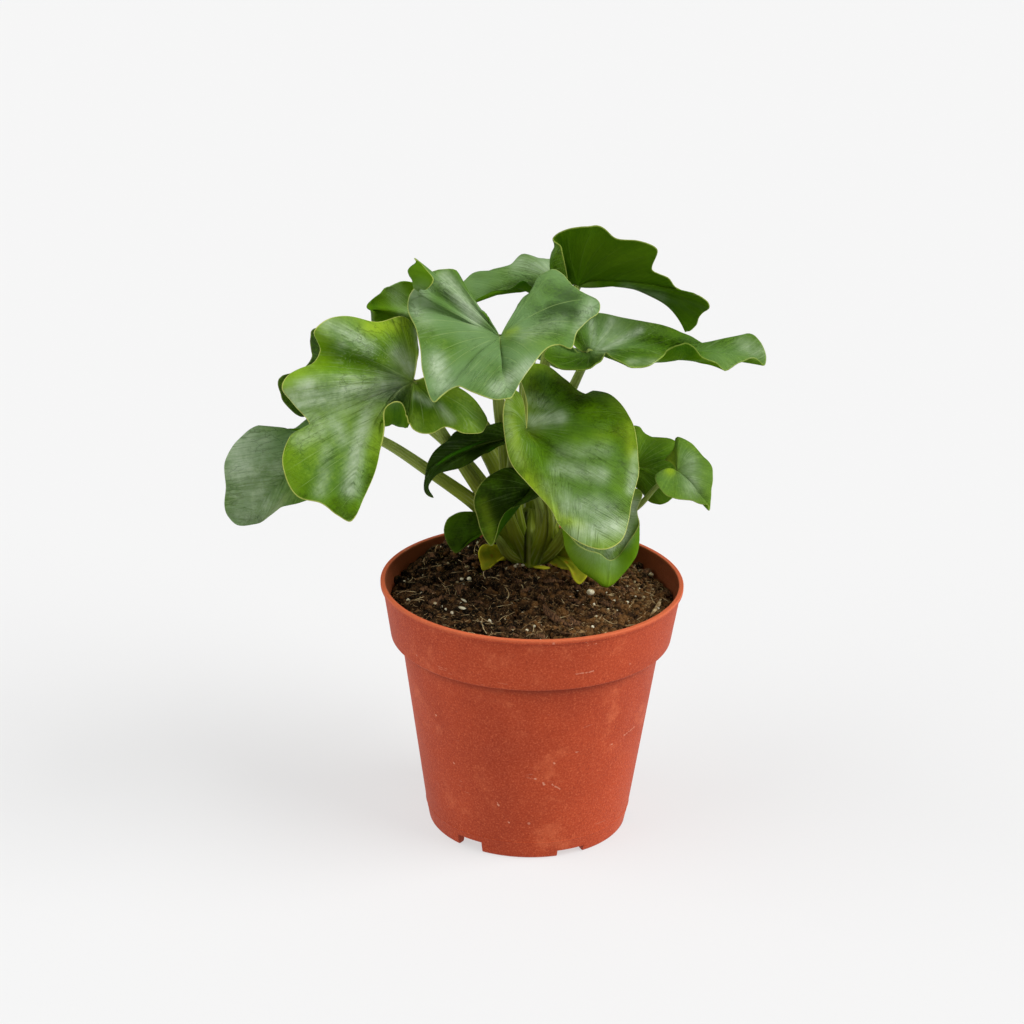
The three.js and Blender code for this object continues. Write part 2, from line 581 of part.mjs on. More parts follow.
function bladeSolid(leaf, extra = 0) {
  const { middle, normals, faces, border } = bladeSkin(leaf);
  const half = BLADE.thickness / 2 + extra;
  const count = middle.length;
  const outline = border.map((at) => middle[at].clone());
  border.forEach((at, i) => {
    const [next, last] = [outline[(i + 1) % border.length], outline.at(i - 1)];
    const along = next.clone().sub(last);
    middle[at].addScaledVector(along.cross(normals[at]).normalize(), extra);
  });
  const upper = middle.map((point, i) => point.clone().addScaledVector(normals[i], half));
  const lower = middle.map((point, i) => point.clone().addScaledVector(normals[i], -half));
  const triangles = [];
  for (const [a, b, c] of faces) triangles.push(a, b, c, count + a, count + c, count + b);
  border.forEach((a, i) => {
    const b = border[(i + 1) % border.length];
    triangles.push(a, count + a, count + b, a, count + b, b);
  });
  return solidOf(surface([...upper, ...lower], triangles));
}

// Stalk: a tapering stem from inside the crown up to the underside of the blade
function stalkPath(leaf) {
  const seen = Boolean(leaf.rim);
  const way = leaf.stalk.map((p) => (seen ? sight(p) : new THREE.Vector3(...p)));
  const { middle, normals } = bladeSkin(leaf);
  const end = middle[0].clone().addScaledVector(normals[0], -(BLADE.thickness / 2 + GAP + STALK.trim));
  const out = new THREE.Vector3(way[0].x - CROWN.x, way[0].y - CROWN.y, 0);
  const inner = STALK.root * Math.min(CROWN.radius, out.length());
  const foot = out.clone().setLength(inner).add(new THREE.Vector3(CROWN.x, CROWN.y, CROWN.waist));
  return { path: new THREE.CatmullRomCurve3([foot, ...way, end]), out: out.normalize(), top: normals[0] };
}

// Radii at the foot and at the tip of a stalk, which are larger on a longer one
function stalkRadii(span, slim = 1) {
  const radius = (end) => slim * THREE.MathUtils.clamp(end.base + end.perMm * span, end.least, end.most);
  return [radius(STALK.foot), radius(STALK.tip)];
}

function stalkSolid(leaf, extra = 0) {
  const { path, out, top } = stalkPath(leaf);
  const span = path.getLength();
  const [foot, tip] = stalkRadii(span, leaf.slim);
  const steps = Math.max(STALK.leastSteps, Math.round(span / STALK.step));
  let across = out.clone();
  const rings = [];
  for (let i = 0; i <= steps; i++) {
    const share = i / steps;
    const centre = path.getPointAt(share);
    const tangent = path.getTangentAt(share);
    across = across.addScaledVector(tangent, -across.dot(tangent)).normalize();
    const beside = new THREE.Vector3().crossVectors(tangent, across);
    const radius = foot + (tip - foot) * share ** STALK.taper;
    const flare = 1 + (STALK.flare - 1) * Math.max(0, 1 - share / STALK.flareEnd);
    rings.push(
      Array.from({ length: STALK.sides }, (_, k) => {
        const turn = (2 * Math.PI * k) / STALK.sides;
        return centre
          .clone()
          .addScaledVector(across, (radius + extra) * Math.cos(turn))
          .addScaledVector(beside, (radius * flare + extra) * Math.sin(turn));
      }),
    );
  }
  const stalk = skinned(rings);
  if (extra) return stalk;
  const block = new THREE.BoxGeometry(4 * foot, 4 * foot, 4 * foot).translate(0, 0, 2 * foot);
  block.applyQuaternion(new THREE.Quaternion().setFromUnitVectors(new THREE.Vector3(0, 0, 1), top));
  block.translate(...path.getPointAt(1));
  return stalk.subtract(solidOf(block)).subtract(bladeSolid(leaf, GAP));
}

// Materials
const finish = (color, roughness) => new THREE.MeshStandardMaterial({ color, roughness, metalness: 0 });
const terracottaPlastic = finish(0xb5482f, 0.6);
const pottingSoil = finish(0x3a2a1e, 0.95);
const crownGreen = finish(0x7f9a3a, 0.6);
const stalkGreen = finish(0x7d9a3c, 0.45);
const leafGreen = finish(0x3f7a2c, 0.35);
const sheathYellow = finish(0xa8a63c, 0.6);

// Assembly
const plant = new THREE.Group();
plant.name = "potted_atom_philodendron";
plant.add(meshOf("pot", potSolid(), terracottaPlastic));

plant.add(meshOf("crown", crownSolid(0), crownGreen));

// What the crown and the stalks take up, with the clearance round them
let taken = crownSolid(GAP);
for (const leaf of [...LEAVES, ...REAR_LEAVES]) {
  plant.add(meshOf("blade_" + leaf.name, bladeSolid(leaf), leafGreen));
  const stalk = stalkSolid(leaf).subtract(taken);
  plant.add(meshOf("stalk_" + leaf.name, largestBody(stalk), stalkGreen));
  taken = taken.add(stalkSolid(leaf, GAP));
}
plant.add(meshOf("soil", largestBody(soilSolid().subtract(taken)), pottingSoil));
for (const sheath of SHEATHS)
  plant.add(meshOf("sheath_" + sheath.name, largestBody(bladeSolid(sheath).subtract(taken)), sheathYellow));

export default plant;
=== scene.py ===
import itertools
import math

import bmesh
import bpy
import numpy as np
from mathutils import Matrix, Vector, kdtree
from numpy.linalg import norm


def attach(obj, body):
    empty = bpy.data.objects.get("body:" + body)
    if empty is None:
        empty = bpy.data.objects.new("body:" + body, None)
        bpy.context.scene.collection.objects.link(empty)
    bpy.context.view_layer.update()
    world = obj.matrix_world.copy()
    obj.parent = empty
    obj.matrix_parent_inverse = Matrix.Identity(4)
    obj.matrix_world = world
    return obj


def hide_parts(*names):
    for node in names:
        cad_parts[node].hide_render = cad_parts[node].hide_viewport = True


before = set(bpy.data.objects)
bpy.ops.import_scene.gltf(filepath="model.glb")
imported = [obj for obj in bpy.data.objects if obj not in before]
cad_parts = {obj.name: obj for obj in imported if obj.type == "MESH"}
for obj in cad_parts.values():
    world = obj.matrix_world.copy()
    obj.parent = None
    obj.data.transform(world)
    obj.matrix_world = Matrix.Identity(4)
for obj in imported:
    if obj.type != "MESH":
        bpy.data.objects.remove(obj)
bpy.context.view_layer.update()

MM = 0.001

# Driving dimensions, as the solids have them
POT = {
    "height": 93, "rim": 54.2, "lip_drop": 1.6, "lip_round": 0.35, "band_top": 53.35, "band_foot": 50.4,
    "band_height": 20.6, "band_round": 0.7, "step_lift": 0.6, "shoulder": 46.8, "parting": 6.7, "foot": 36.4,
    "foot_round": 0.8, "foot_width": 3.2, "foot_slant": 0.6, "wall": 1, "floor_lift": 3.2, "pad": 8,
    "pad_slant": 0.8, "notches": 6, "notch_width": 10.4, "notch_heights": (2.5, 4.3), "notch_turn": -64.5,
    "drain": 3.2, "drain_ring": 21,
}
BAND_FOOT = POT["height"] - POT["band_height"]
SOIL = {
    "level": 86, "edge_drop": 1.2, "trim": 0.2, "sides": 340, "rings": 104, "clear": 2.2,
    "rough": 0.75, "rough_length": 4.5, "lumps": 430, "lump_radii": (1, 3.2), "lump_stretch": (0.8, 1.3),
    "lump_heights": (0.25, 0.55), "lump_field": 50, "pit_depth": 2.4, "pit_length": 5.5,
}
HEAPS = ({"x": -0.4, "y": 27.5, "height": 4.5, "reach": 19}, {"x": -33, "y": 38, "height": 5, "reach": 20})
CLODS = (
    {"height": 0.28, "x": 0.2, "y": 0.44, "shift": 0}, {"height": 0.28, "x": 0.42, "y": -0.1, "shift": 0},
    {"height": 0.44, "x": 0.71, "y": -0.45, "shift": 1.3},
    {"height": 0.33, "x": 0.52, "y": 0.93, "shift": 1.57},
)
CROWN = {
    "x": -0.4, "y": 27.5, "radius": 8.2, "waist": 91,
    "heights": (66, 80, 91, 99, 104, 110), "radii": (6.2, 8.2, 8.2, 10.2, 8.8, 2.2),
    "rows": 70, "sides": 216, "bases": 9, "base_relief": 0.26, "fine_ribs": 31, "twist": 0.012,
    "strand_end": 0.4,
}
BLADE = {
    "keel": 2.4, "fan": 2, "thickness": 0.55, "rounding": 0.5, "step": 1.15,
    "close": (0.03, 0.08, 0.16, 0.3), "margin": (0.15, 0.35, 0.7), "base": 0.5, "half_way": 0.6,
}
STALK = {
    "sides": 28, "step": 1.6, "root": 0.6, "taper": 0.85, "flare": 1.35, "flare_end": 0.4,
    "channel": 0.16, "channel_width": 0.45, "ribs": 9, "rib_height": 0.018,
    "foot": {"base": 2.3, "per_mm": 0.019, "least": 2.5, "most": 3.7},
    "tip": {"base": 0.7, "per_mm": 0.0075, "least": 0.95, "most": 1.45},
}
GAP = 0.3

# The viewer stands 0.9 m away and looks down by 21 degrees at a point above the pot. Focal length and size
# are in image points, film in mm and clip in metres.
VIEW = {
    "distance": 900, "pitch": 21.2, "roll": 1.05, "focal": 2542, "size": 1024, "aim": (-7.6, 0, 118.6),
    "film": 36, "clip": (0.05, 40),
}

# The leaves, as the solids have them. Joint and rim are points across and down the view with their depth y.
# Three more numbers pull the blade outwards first, so that its margin rolls over. Tip counts the rim's
# points up to the blade's tip, keel is how far the midrib is sunk, bow the arch in mm and stalk its way up.
LEAVES = [
    {
        "name": "left", "joint": [413, 382, -14], "tip": 18, "bow": 4,
        "stalk": [[490, 505, 13], [462, 463, 0], [428, 410, -5]],
        "rim": [
            [418, 350, -10], [415, 327, -6], [403, 317, -6], [376, 322, -12], [348, 316.5, -16],
            [328, 319, -20], [314, 331, -23], [320, 350, -18], [313, 363, -21], [290, 373, -29],
            [281.5, 387, -32], [293, 404, -30], [309, 425, -30, 355, 404, -24],
            [289, 438, -36, 350, 405, -22], [282.5, 465, -42, 345, 408, -24], [297, 496, -45, 343, 410, -25],
            [322, 504, -47, 345, 412, -26], [337, 515, -49, 349, 413, -27], [351, 521.5, -52, 353, 414, -28],
            [364, 498, -46, 360, 412, -26], [377, 466, -38, 369, 408, -24], [382, 430, -30, 378, 402, -21],
            [385, 408, -30, 378, 452, -22], [393, 402.5, -31, 384, 452, -22],
            [400, 402.3, -31, 393, 458, -22], [406, 411, -30, 402, 452, -22], [408, 419, -29, 407, 446, -21],
            [411, 427, -28], [419, 433, -27], [432, 433.5, -26], [446, 427, -23], [466, 433.5, -18],
            [484, 431, -13], [486, 415, -8], [465, 393, -9], [430, 376, -12],
        ],
    },
    {
        "name": "centre", "joint": [500, 337.5, -12], "tip": 23, "bow": 4, "keel": 1,
        "stalk": [[508, 480, 17], [504, 440, 13], [499, 405, 7], [497, 370, -2]],
        "rim": [
            [483, 320, -9, 497, 336, -12], [473, 303, -4], [463, 284, 1], [456, 271, 4], [438, 269.5, 5],
            [430.5, 272, 3], [423, 268, 2], [415, 257.5, 1], [424.5, 268, -9, 372, 262, -4],
            [434, 280, -12, 368, 268, -8], [427, 289, -12, 380, 277, -9], [416, 287, -7, 440, 309, -9],
            [409.5, 295, -6, 446, 315, -10], [407.5, 309, -9], [415, 326, -17], [420, 348, -24],
            [422.5, 372, -32], [434, 403, -41], [447, 392, -39], [459, 387, -38], [474, 393, -40],
            [492, 398.5, -42], [503, 399, -42], [510, 397.5, -41, 491.5, 362.7, -26], [522, 380, -34],
            [535, 362, -28], [547, 348.5, -23], [560, 346, -20], [571, 348.5, -20], [577, 333, -12],
            [590, 319, -6], [600, 310, -1], [598.5, 300, 2], [583, 291.5, 4], [572, 286, 5], [565, 276, 7],
            [552, 269.7, 7], [538, 278.5, 5], [530, 292, 1], [519, 301.5, -2], [517, 310, -3],
            [511.5, 319.5, -6, 522, 334, -9],
        ],
    },
    {
        "name": "front", "joint": [526, 430, -6], "tip": 10, "bow": 7, "keel": 0,
        "stalk": [[546, 525, 13], [542, 480, 4], [533, 450, 0]],
        "rim": [
            [518, 392, -8], [510, 388, -11], [503.5, 406, -15], [503.3, 427, -16], [511, 463, -20],
            [527, 483, -24], [552, 511.5, -30], [559, 525, -32], [575, 540, -35], [592, 548, -36],
            [606, 549.5, -35], [620, 542, -32], [628, 524.5, -27], [631, 506, -23], [638, 480, -15],
            [638, 453, -6], [632, 421, 4], [617, 399, 9], [597, 391.3, 12], [588, 393.5, 11], [566, 380, 14],
            [546, 366, 17], [531, 365, 16], [521, 382, 10],
        ],
    },
    {
        "name": "back_right", "joint": [578, 284.5, 34], "tip": 14, "bow": 3,
        "stalk": [[545, 500, 27], [543, 430, 30], [545, 362, 31], [560, 318, 35]],
        "rim": [
            [568, 284, 26, 556, 286, 38], [565, 265, 17, 532, 272, 38], [560, 248, 16, 536, 250, 34],
            [552.3, 238, 20], [565, 230, 19], [585, 226, 19], [600, 226.5, 21], [617, 239, 24],
            [640, 241, 22], [657, 249, 21], [653, 269.5, 28], [668, 278, 27], [680, 290.3, 29],
            [700, 296, 27], [710, 305.8, 28, 644, 272, 31], [700, 316, 33, 651, 273.5, 32],
            [696, 326, 36, 657, 275, 33.5], [690, 331, 38, 663, 276.5, 35], [684.8, 332.5, 39, 666, 282, 36],
        ],
    },
    {
        "name": "right", "joint": [590, 351.5, 10], "tip": 22, "bow": -4,
        "stalk": [[552, 488, 25], [561, 415, 23], [574, 384, 18]],
        "rim": [
            [572, 345, 10], [556, 343, 9], [543, 356, 1], [558, 368, -7], [578, 369, -11], [593, 366, -11],
            [602, 359, -8, 595, 358, 1], [606, 352, -5, 600, 357, 2], [614, 360, -11, 603, 356, 0],
            [632, 367.3, -14, 612, 356, -1], [647, 367, -13, 622, 356, -1], [659, 359, -9, 634, 356, -1],
            [667, 351, -6, 650, 356, -3], [678, 344.5, -6, 671, 371, -3], [688.5, 343, -5, 687, 375, -2.5],
            [696, 349.5, -5, 694, 367, -1.5], [704, 357, -6, 690, 362, 0], [718, 363.5, -6, 690, 359, 1],
            [726, 370, -7, 680, 351, 2.5], [739, 363, -3, 676, 347, 4], [752, 357.8, 1, 676, 345, 5],
            [759, 360, 1, 678, 344, 6], [764.5, 365.5, 1, 680, 345, 6.8], [766, 355, 5, 682, 346, 8],
            [760, 341, 9], [750.5, 333, 12], [730, 340, 13], [708, 343.3, 15], [690, 335.5, 23],
            [670, 328, 29], [632, 319.5, 36], [602, 312.5, 35], [586, 313, 31], [573, 323, 25],
            [569, 339, 15],
        ],
    },
    {
        "name": "back", "joint": [556, 283, 38], "tip": 10, "bow": 4,
        "stalk": [[534, 490, 29], [527, 410, 34], [535, 335, 37]],
        "rim": [
            [571, 274, 48], [562, 263, 50], [545, 260.5, 49], [532, 257, 47], [521, 254.8, 46],
            [510, 266, 42], [490, 270.3, 40], [476, 272, 38], [463.5, 281.5, 34], [455, 293, 29],
            [452, 304, 25], [463, 307.5, 25], [478, 299.5, 27], [493, 291.5, 29], [507, 290.3, 29],
            [515, 286, 27, 520, 296, 30], [523, 280, 26, 527, 307, 30], [529.5, 285.5, 27, 535, 304, 31],
            [535, 295, 30], [547, 297, 32],
        ],
    },
    {
        "name": "back_left", "joint": [434, 318, 24], "tip": 4, "bow": 3,
        "stalk": [[500, 480, 24], [472, 425, 22], [447, 370, 25]],
        "rim": [
            [424, 333, 25], [402, 330, 22], [377, 323, 11, 362, 322, 22], [375, 312, 9, 357, 309, 20],
            [367, 306, 13], [378, 295.5, 15], [387, 287.5, 16], [398, 283, 17], [411, 282, 19],
            [428, 289, 24], [444, 301, 28],
        ],
    },
    {
        "name": "low_left", "joint": [330, 430, -6], "tip": 11, "bow": 5,
        "stalk": [[486, 515, 14], [474, 502, 9], [430, 471, 5], [383, 441, 1], [350, 429, -2]],
        "rim": [
            [338, 414, -2], [322, 410, -4], [307, 418.5, -6], [289, 430, -8], [270, 429, -9],
            [255, 426.5, -9], [238, 440, -12], [224.7, 463, -16], [225.8, 488, -20], [224.5, 507, -22],
            [229, 518, -23], [238, 525.3, -24], [256, 524, -23], [274, 514.5, -19], [283, 507, -17],
            [299, 503.5, -14], [318, 494, -10], [338, 476, -6], [346, 452, -1],
        ],
    },
    {
        "name": "left_rear", "joint": [364, 388, 16], "tip": 9, "bow": 4,
        "stalk": [[487, 490, 22], [445, 440, 20], [405, 411, 22], [382, 399, 20]],
        "rim": [
            [374, 369, 22], [358, 344, 23], [334, 330, 17], [313, 329, 10], [309.5, 341, 5], [312, 354, 2],
            [306, 366, -2], [289, 373.5, -7], [278.3, 379, -9], [280, 394, -11], [288, 406.5, -11],
            [296, 414.5, -9], [306, 415.5, -4], [328, 418, 3], [352, 416, 9], [375, 405, 13],
        ],
    },
    {
        "name": "inner_left", "joint": [513, 437, 1], "tip": 8, "bow": 3,
        "stalk": [[507, 510, 13], [511, 467, 6]],
        "rim": [
            [515, 425, 4], [500, 422, 3], [478, 428, 0], [457, 432, -3], [444, 444, -8], [431, 456, -13],
            [425.5, 470, -16], [425, 487, -19, 420, 445, -15], [427, 495, -21, 411, 450, -16],
            [433.5, 498, -21, 402, 455, -16], [428.5, 487, -18, 412, 456, -15],
            [439, 473.5, -15, 452, 457, -11], [464, 466.5, -10], [478, 457, -7], [491, 449.5, -4],
            [508, 443, 0],
        ],
    },
    {
        "name": "inner_front", "joint": [532, 488, -3], "tip": 9, "bow": 4,
        "stalk": [[541, 533, 16], [540, 508, 7]],
        "rim": [
            [534, 476, 1], [520, 469, -2], [505, 468.5, -5], [490, 474.5, -9], [478, 487.5, -12],
            [473.3, 503, -13], [477, 517, -14], [480.5, 530, -15], [485.5, 540, -16], [491, 546, -17],
            [495.5, 536, -16], [500, 521, -15], [508, 510, -13], [523, 504, -11], [540, 496, -6],
        ],
    },
    {
        "name": "low_inner_left", "joint": [487, 527, 8], "tip": 7, "bow": 2,
        "stalk": [[508, 553, 18], [499, 540, 13]],
        "rim": [
            [484, 517, 6], [476, 512, 3], [461, 512, 1], [449, 518, -1], [444, 530, -2], [446, 540, -2],
            [451, 549, -1], [456, 553, -1], [465, 545, 1], [480, 532.5, 5],
        ],
    },
    {
        "name": "low_front", "joint": [598, 500, -4], "tip": 5, "bow": 2,
        "stalk": [[556, 545, 16], [570, 525, 5]],
        "rim": [
            [576, 504, -5], [565, 518, -11, 562, 520, -9], [572, 538, -17, 546, 550, -14],
            [586, 549, -19, 560, 594, -22], [599, 553, -19, 586, 622, -28], [609, 560, -18, 608, 634, -30],
            [618, 556, -16, 632, 612, -27], [630, 539, -14, 652, 580, -20], [639, 523, -10, 642, 545, -12],
            [637, 510, -6], [642.5, 493, -3], [632, 487, 0],
        ],
    },
    {
        "name": "far_right", "joint": [634, 467, 12], "tip": 6, "bow": 4,
        "stalk": [[560, 545, 28], [590, 520, 20]],
        "rim": [
            [630, 482, 11], [641, 494, 11], [650, 503, 9], [660, 505, 8], [670, 499.5, 9], [680, 489, 9],
            [686, 474, 11], [683, 452, 17], [676, 441, 20], [660, 436, 22], [649, 435, 22], [640, 426, 22],
            [630, 426, 21], [622, 446, 17],
        ],
    },
    {
        "name": "right_low", "joint": [677, 471.5, -2], "tip": 8, "bow": 3, "slim": 0.6,
        "stalk": [[560, 544, 20], [600, 528, 9], [637, 507, 4], [658, 485, 2]],
        "rim": [
            [662, 471.5, -4], [655.3, 475, -8], [656, 483, -11], [666, 495.8, -15], [676, 498.5, -16],
            [690, 500, -15], [702, 504.3, -14], [708, 505.5, -14], [709.8, 510, -14], [711.5, 496, -10],
            [712.3, 481, -5], [711.3, 464, 2], [700, 453, 6], [689, 441.5, 8], [678, 437, 8], [674, 448, 10],
            [665, 461, 8],
        ],
    },
]

# Old leaf bases that lean out of the crown onto the soil
SHEATHS = [
    {
        "name": "left", "joint": [507, 553, 25], "bow": 1.5,
        "rim": [
            [500, 545, 23], [490, 544.5, 22], [481, 546, 20.5], [478, 553, 19], [480, 563, 18.5],
            [482.5, 570.5, 18], [491, 566, 19], [499, 561, 20.5], [505, 561, 22],
        ],
    },
    {
        "name": "right", "joint": [549, 553, 24], "bow": 1.5,
        "rim": [
            [548, 562, 21], [554, 565.5, 18.5], [562, 569, 15], [570.5, 571, 12, 563, 560, 17],
            [573, 579, 8, 573, 559, 14], [579.5, 584, 6, 577, 560, 13], [586.5, 578, 8], [588.5, 568, 12],
            [580, 558, 15.5], [569, 547, 19], [558, 538.5, 22], [550, 543, 24],
        ],
    },
]

# Leaves behind the others, by formula: joint and stalk in mm, heading in degrees (90 is away from the
# viewer), droop below the horizontal, length and width of the blade. HEART is their rim, as a cosine series.
REAR_LEAVES = [
    {"name": "rear", "joint": [9, 60, 122], "heading": 84, "droop": 40, "length": 42, "width": 44,
     "stalk": [[3, 40, 104], [7, 51, 115]]},
    {"name": "rear_left", "joint": [-36, 54, 150], "heading": 138, "droop": 28, "length": 42, "width": 42,
     "stalk": [[-5, 38, 109], [-18, 47, 134]]},
    {"name": "rear_right", "joint": [20, 50, 141], "heading": 56, "droop": 42, "length": 36, "width": 34,
     "stalk": [[5, 36, 112], [12, 43, 128]]},
    {"name": "rear_high", "joint": [-4, 52, 164], "heading": 88, "droop": 26, "length": 42, "width": 44,
     "stalk": [[-2, 37, 113], [-4, 45, 141]]},
]
HEART = [0.555, 0.188, 0.055, 0.202]
REAR = {"points": 19, "spread": 162, "waves": 7, "wave_height": 2, "sag": 0.009, "tip": 9, "bow": 4}
for rear_leaf in REAR_LEAVES:
    rear_leaf.update(tip=REAR["tip"], bow=REAR["bow"])

# How each leaf differs: tone is dark to light green, yellow a warm young margin, the third a painted
# blue-grey sheen, pleat the height of the quilting between its veins in mm, gloss how wet it looks and how
# much painted sheen and painted crease shade it gets, line how pale its margin is and rib how clear its
# midrib is. On an old sheath tone is green to yellow.
LOOKS = ("tone", "yellow", "dusk", "pleat", "gloss", "line", "rib")
FINISH = {
    "left": (0.68, 0.35, 0.25, 0.3, 0.85, 0.7, 0.5),
    "centre": (0.5, 0.05, 0.95, 0.1, 0.4, 0.5, 0.5),
    "front": (0.42, 0.4, 0.15, 0.1, 0.9, 1, 0),
    "back_right": (0.36, 0.1, 0, 0.12, 0.3, 0.3, 0.6),
    "right": (0.55, 0.1, 0.5, 0.2, 0.55, 0.2, 0.3),
    "back": (0.42, 0.1, 0.9, 0.15, 0.4, 0, 0.4),
    "back_left": (0.62, 0.15, 0.1, 0.12, 0.4, 0, 0.4),
    "low_left": (0.6, 0.05, 1, 0.12, 0.6, 0, 0.15),
    "left_rear": (0.22, 0.1, 0.1, 0.2, 0.4, 0.1, 0.4),
    "inner_left": (0, 0.05, 0, 0.12, 0.4, 0.1, 0.4),
    "inner_front": (0.1, 0.1, 0, 0.12, 0.4, 0.4, 0.3),
    "low_inner_left": (0.34, 0.1, 0, 0.15, 0.3, 0.1, 0.3),
    "low_front": (0.72, 0.5, 0.3, 0.12, 0.7, 0.5, 0.2),
    "far_right": (0.5, 0.2, 0, 0.12, 0.4, 0.2, 0.3),
    "right_low": (0.62, 0.2, 0.4, 0.12, 0.5, 0.2, 0.2),
    "rear": (0.4, 0.15, 0.2, 0.3, 0.6, 0.3, 0.6),
    "rear_left": (0.5, 0.15, 0.2, 0.3, 0.6, 0.3, 0.6),
    "rear_right": (0.4, 0.1, 0.3, 0.3, 0.5, 0.3, 0.6),
    "rear_high": (0.5, 0.1, 0.3, 0.3, 0.6, 0.3, 0.6),
    "sheath_left": (1, 0.9, 0, 0.1, 0.3, 0.5, 0),
    "sheath_right": (0.4, 0.9, 0, 0.1, 0.3, 0.5, 0),
}
